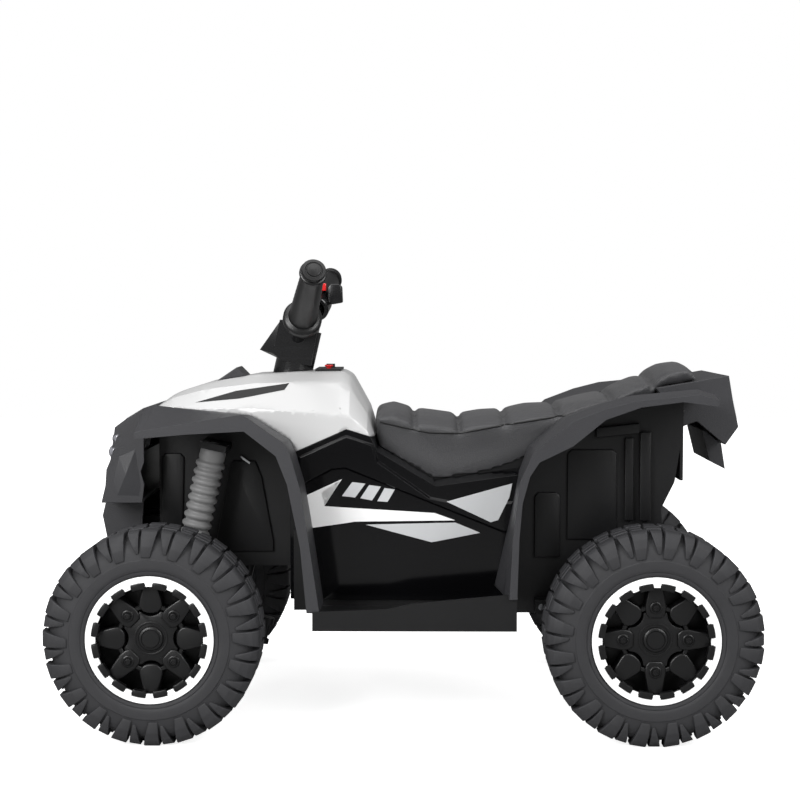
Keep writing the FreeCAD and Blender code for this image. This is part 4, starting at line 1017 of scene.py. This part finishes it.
class QUAD_OT_wells(bpy.types.Operator):
    """Ribs and panels in the wheel wells, clips, and the shelves beside the seat"""
    bl_idname = "quad.wells"
    bl_label = "Wheel wells"

    # Outlines of X and Z in millimetres, with how far each stands out
    PANELS = (
        (((-335, 238), (-335, 356), (-330, 362), (-308, 362), (-303, 356), (-306, 238)), 3.0),
        (((-262, 226), (-240, 346), (-236, 352), (-205, 352), (-196, 330), (-180, 240), (-180, 226)), 4.0),
        (((176, 226), (176, 308), (181, 314), (206, 314), (211, 308), (211, 226)), 4.0),
        (((220, 250), (220, 366), (226, 372), (281, 372), (287, 366), (287, 250)), 3.0),
        (((297, 276), (297, 388), (309, 388), (309, 276)), 6.0),
        (((317, 276), (317, 396), (332, 396), (332, 276)), 9.0),
        (((258, 388), (258, 402), (316, 408), (316, 394)), 10.0),
    )
    SUNK = 2
    SHELF = ((196, 386), (262, 408), (380, 424), (380, 418), (264, 402), (198, 380))
    CLIP = ((-227, 357), (-225, 360), (-211, 350), (-213, 347))
    CLIP_PLACE = (-219, 352)
    WALLS = SIDE_PANELS + ("chassis_tub", "left_rear_fender", "right_rear_fender", "gearbox_cases")

    def execute(self, context):
        for side, sign in SIDES:
            bm = bmesh.new()
            for outline, stand in self.PANELS:
                x = sum(point[0] for point in outline) / len(outline)
                z = sum(point[1] for point in outline) / len(outline)
                y = wall_at(self.WALLS, x, z, sign)
                foot = [(px, y - sign * self.SUNK, pz) for px, pz in outline]
                stamp(bm, slab(foot, (0, sign * (stand + self.SUNK), 0), 1.6, 3), [Matrix()])
            shelf = slab([(x, sign * 82, z) for x, z in self.SHELF], (0, sign * 40, 0), 1.2)
            stamp(bm, shelf, [Matrix()])
            keep(side + "_well_panels", bm, "chassis", "tub_black")
            y = wall_at(self.WALLS, *self.CLIP_PLACE, sign)
            clip = slab([(x, y, z) for x, z in self.CLIP], (0, sign * 6.5, 0), 0.6)
            keep(side + "_well_clip", clip, "chassis", "plated_trim")
        return {"FINISHED"}


class QUAD_OT_nose(bpy.types.Operator):
    """Facets of the bumper's cheeks, lamp lobes with plated tips, and the plate behind the grille"""
    bl_idname = "quad.nose"
    bl_label = "Nose"

    CHEEK = ((-383, 364), (-360, 374), (-352, 323), (-355, 308), (-386, 308), (-391, 332))
    RIDGE = (-373, 338)
    LENS = ((0, 5.2), (4, 4.6), (7.2, 3), (8.6, 1), (9.2, 0.6), (9.6, -1), (9.2, -5), (0, -6))
    LENS_PLACES = ((-386, 388), (-391, 370))
    LENS_SIDE = 141
    TIP = ((-391, 143, 357), (-397, 141, 354), (-396, 141, 351), (-388, 143, 353))
    GRILLE_BACK = ((-104, 301), (104, 301), (104, 362), (-104, 362))

    def execute(self, context):
        lens = turned(self.LENS, 40, False)
        for side, sign in SIDES:
            names = ("front_bumper",)
            bm = bmesh.new()
            rim = [bm.verts.new((x, wall_at(names, x, z, sign) - sign * 0.3, z)) for x, z in self.CHEEK]
            x, z = self.RIDGE
            top = bm.verts.new((x, wall_at(names, x, z, sign) + sign * 4.5, z))
            for first, second in zip(rim, rim[1:] + rim[:1]):
                bm.faces.new((first, second, top))
            bmesh.ops.recalc_face_normals(bm, faces=bm.faces)
            if sum(face.normal.y for face in bm.faces) * sign < 0:
                bmesh.ops.reverse_faces(bm, faces=bm.faces)
            keep(side + "_cheek", bm, "chassis", "charcoal", smooth_deg=12)
            lamp = bmesh.new()
            lean = (Matrix.Rotation(math.radians(-68), 4, "Y")
                    @ Matrix.Rotation(math.radians(sign * 24), 4, "X"))
            for x, z in self.LENS_PLACES:
                stamp(lamp, lens, [Matrix.Translation((x, sign * self.LENS_SIDE, z)) @ lean], discard=False)
            keep(side + "_lamp_lobes", lamp, "chassis", "lens_smoke")
            tip = slab([(x, sign * y, z) for x, y, z in self.TIP], (0, sign * 5, 0), 0.8, 2)
            keep(side + "_lamp_tip", tip, "chassis", "plated_trim")
        lens.free()
        back = slab([(-368, y, z) for y, z in self.GRILLE_BACK], (3, 0, 0), 0.8)
        keep("grille_back", back, "chassis", "tub_black")
        return {"FINISHED"}


class QUAD_OT_films(bpy.types.Operator):
    """Plain stripes and blocks of film on the side panels and the hood"""
    bl_idname = "quad.films"
    bl_label = "Films"

    SWEEP = ((-140, 304), (-84, 330), (-112, 312), (-108, 293), (42, 284), (70, 274), (-66, 272), (-131, 262))
    BARS = (((-70, 326), (-52, 324), (-66, 305), (-84, 307)),
            ((-47, 322), (-31, 320), (-43, 301), (-59, 304)),
            ((-26, 318), (-12, 316), (-22, 299), (-36, 300)))
    WEDGE = ((-52, 268), (70, 271), (104, 257), (38, 244))
    BLADE = ((58, 300), (147, 325), (143, 306), (128, 275), (118, 272))
    STRIPE = ((-288, 432), (-232, 448), (-158, 459), (-164, 450), (-226, 438))
    LIFT, BAR_LIFT, STRIPE_LIFT = 0.5, 0.7, 0.4

    def execute(self, context):
        for side, sign in SIDES:
            panel = NODES[side + "_side_panel"]
            for name, points, finish in (("sweep", self.SWEEP, "film_white"),
                                         ("wedge", self.WEDGE, "film_silver"),
                                         ("blade", self.BLADE, "film_silver")):
                film_mesh = laid_on(panel, points, sign, self.LIFT, 4.0, name == "blade")
                keep(side + "_" + name + "_film", film_mesh, "chassis", finish)
            bars = bmesh.new()
            for points in self.BARS:
                stamp(bars, laid_on(panel, points, sign, self.BAR_LIFT), [Matrix()])
            keep(side + "_bar_film", bars, "chassis", "film_silver")
            stripe = laid_on(NODES["hood"], self.STRIPE, sign, self.STRIPE_LIFT)
            keep(side + "_hood_stripe", stripe, "chassis", "film_dark")
        return {"FINISHED"}


class QUAD_OT_stage(bpy.types.Operator):
    """Pale floor with painted shade in its reflections, white surround, soft lamps and the camera"""
    bl_idname = "quad.stage"
    bl_label = "Stage"

    def softbox(self, name, place, aim, size, power):
        lamp = bpy.data.lights.new(name, "AREA")
        lamp.shape = "RECTANGLE"
        lamp.size, lamp.size_y = size
        lamp.energy = power
        holder = bpy.data.objects.new(name, lamp)
        holder.location = place
        holder.rotation_euler = (Vector(aim) - Vector(place)).to_track_quat("-Z", "Y").to_euler()
        bpy.context.scene.collection.objects.link(holder)

    def execute(self, context):
        stage = context.scene.quad_stage
        scene = context.scene
        world = bpy.data.worlds.new("Surround")
        world.use_nodes = True
        world.node_tree.nodes.clear()
        start = Socket(world.node_tree)
        camera_ray = start.node("ShaderNodeLightPath", {}, {}, "Is Camera Ray")
        glossy = start.node("ShaderNodeLightPath", {}, {}, "Is Glossy Ray")
        white = (1, 1, 1, 1)
        seen, cast, mirrored = (
            start.node("ShaderNodeBackground", {}, {"Strength": strength, "Color": white}, "Background")
            for strength in (1.0, stage.ambient, stage.ambient * 0.5))
        light = start.node("ShaderNodeMixShader", {}, {0: glossy, 1: cast, 2: mirrored}, "Shader")
        light = start.node("ShaderNodeMixShader", {}, {0: camera_ray, 1: light, 2: seen}, "Shader")
        start.node("ShaderNodeOutputWorld", {}, {"Surface": light})
        scene.world = world

        bm = bmesh.new()
        bmesh.ops.create_grid(bm, x_segments=2, y_segments=2, size=6.0)
        mesh = bpy.data.meshes.new("floor")
        bm.to_mesh(mesh)
        bm.free()
        floor = bpy.data.objects.new("floor", mesh)
        scene.collection.objects.link(floor)
        place = blank("floor_pale")
        paper = place.noise(3, 3)
        camera_ray = place.node("ShaderNodeLightPath", {}, {}, "Is Camera Ray")
        far = place.node("ShaderNodeVectorMath", {"operation": "LENGTH"}, {0: place}, "Value")
        fade = (far * 0.5).ramp((0.22, 0), (0.50, 1))
        glossy = place.node("ShaderNodeLightPath", {}, {}, "Is Glossy Ray")
        # Painted shade in reflections: glossy rays see the floor's colour at a quarter, so shiny parts mirror
        # a darker floor than the camera sees
        pale_dimmed_in_reflections = (paper * 0.04 + 0.86) * (1 - glossy * 0.75)
        material("floor_pale", {"Base Color": pale_dimmed_in_reflections,
                                "Roughness": 1.0, "Specular IOR Level": 0.0, "Emission Strength": 1.0,
                                "Emission Color": camera_ray * (fade * (1 - stage.glow) + stage.glow)})
        mesh.materials.append(MATERIALS["floor_pale"])

        self.softbox("overhead", (-0.2, -0.5, 2.6), (0, 0, 0.3), (2.6, 1.8), stage.key)
        self.softbox("side", (-1.6, -2.2, 1.5), (0, 0, 0.35), (1.2, 1.4), stage.fill)
        self.softbox("rear", (1.8, -1.6, 1.6), (0.2, 0, 0.3), (1.0, 1.4), stage.fill * 0.5)

        camera = bpy.data.cameras.new("view")
        camera.lens = stage.lens
        camera.sensor_width = 36
        camera.clip_end = 50
        holder = bpy.data.objects.new("view", camera)
        holder.location = stage.eye
        ahead = Vector((-math.sin(stage.yaw) * math.cos(stage.pitch),
                        math.cos(stage.yaw) * math.cos(stage.pitch),
                        -math.sin(stage.pitch)))
        holder.rotation_euler = ahead.to_track_quat("-Z", "Y").to_euler()
        scene.collection.objects.link(holder)
        scene.camera = holder
        scene.view_settings.view_transform = "Standard"
        return {"FINISHED"}


OPERATORS = (QUAD_OT_finishes, QUAD_OT_tyres, QUAD_OT_rims, QUAD_OT_seat, QUAD_OT_hood, QUAD_OT_boots,
             QUAD_OT_handlebar, QUAD_OT_wells, QUAD_OT_nose, QUAD_OT_films, QUAD_OT_stage)


class QUAD_PT_sidebar(bpy.types.Panel):
    """Lists the quad bike's pieces"""
    bl_idname = "QUAD_PT_sidebar"
    bl_label = "Kids Quad Bike"
    bl_space_type = "VIEW_3D"
    bl_region_type = "UI"
    bl_category = "Quad"

    def draw(self, context):
        for operator in OPERATORS:
            self.layout.operator(operator.bl_idname)


GROUPS = (("quad_finishes", QuadFinishes), ("quad_wheels", QuadWheels), ("quad_seat", QuadSeat),
          ("quad_stage", QuadStage))


def register():
    for name, group in GROUPS:
        bpy.utils.register_class(group)
        setattr(bpy.types.Scene, name, PointerProperty(type=group))
    for made in OPERATORS + (QUAD_PT_sidebar,):
        bpy.utils.register_class(made)


def unregister():
    for made in (QUAD_PT_sidebar,) + OPERATORS[::-1]:
        bpy.utils.unregister_class(made)
    for name, group in GROUPS[::-1]:
        delattr(bpy.types.Scene, name)
        bpy.utils.unregister_class(group)


def main():
    register()
    for operator in OPERATORS:
        group, name = operator.bl_idname.split(".")
        getattr(getattr(bpy.ops, group), name)()


if __name__ == "__main__":
    main()
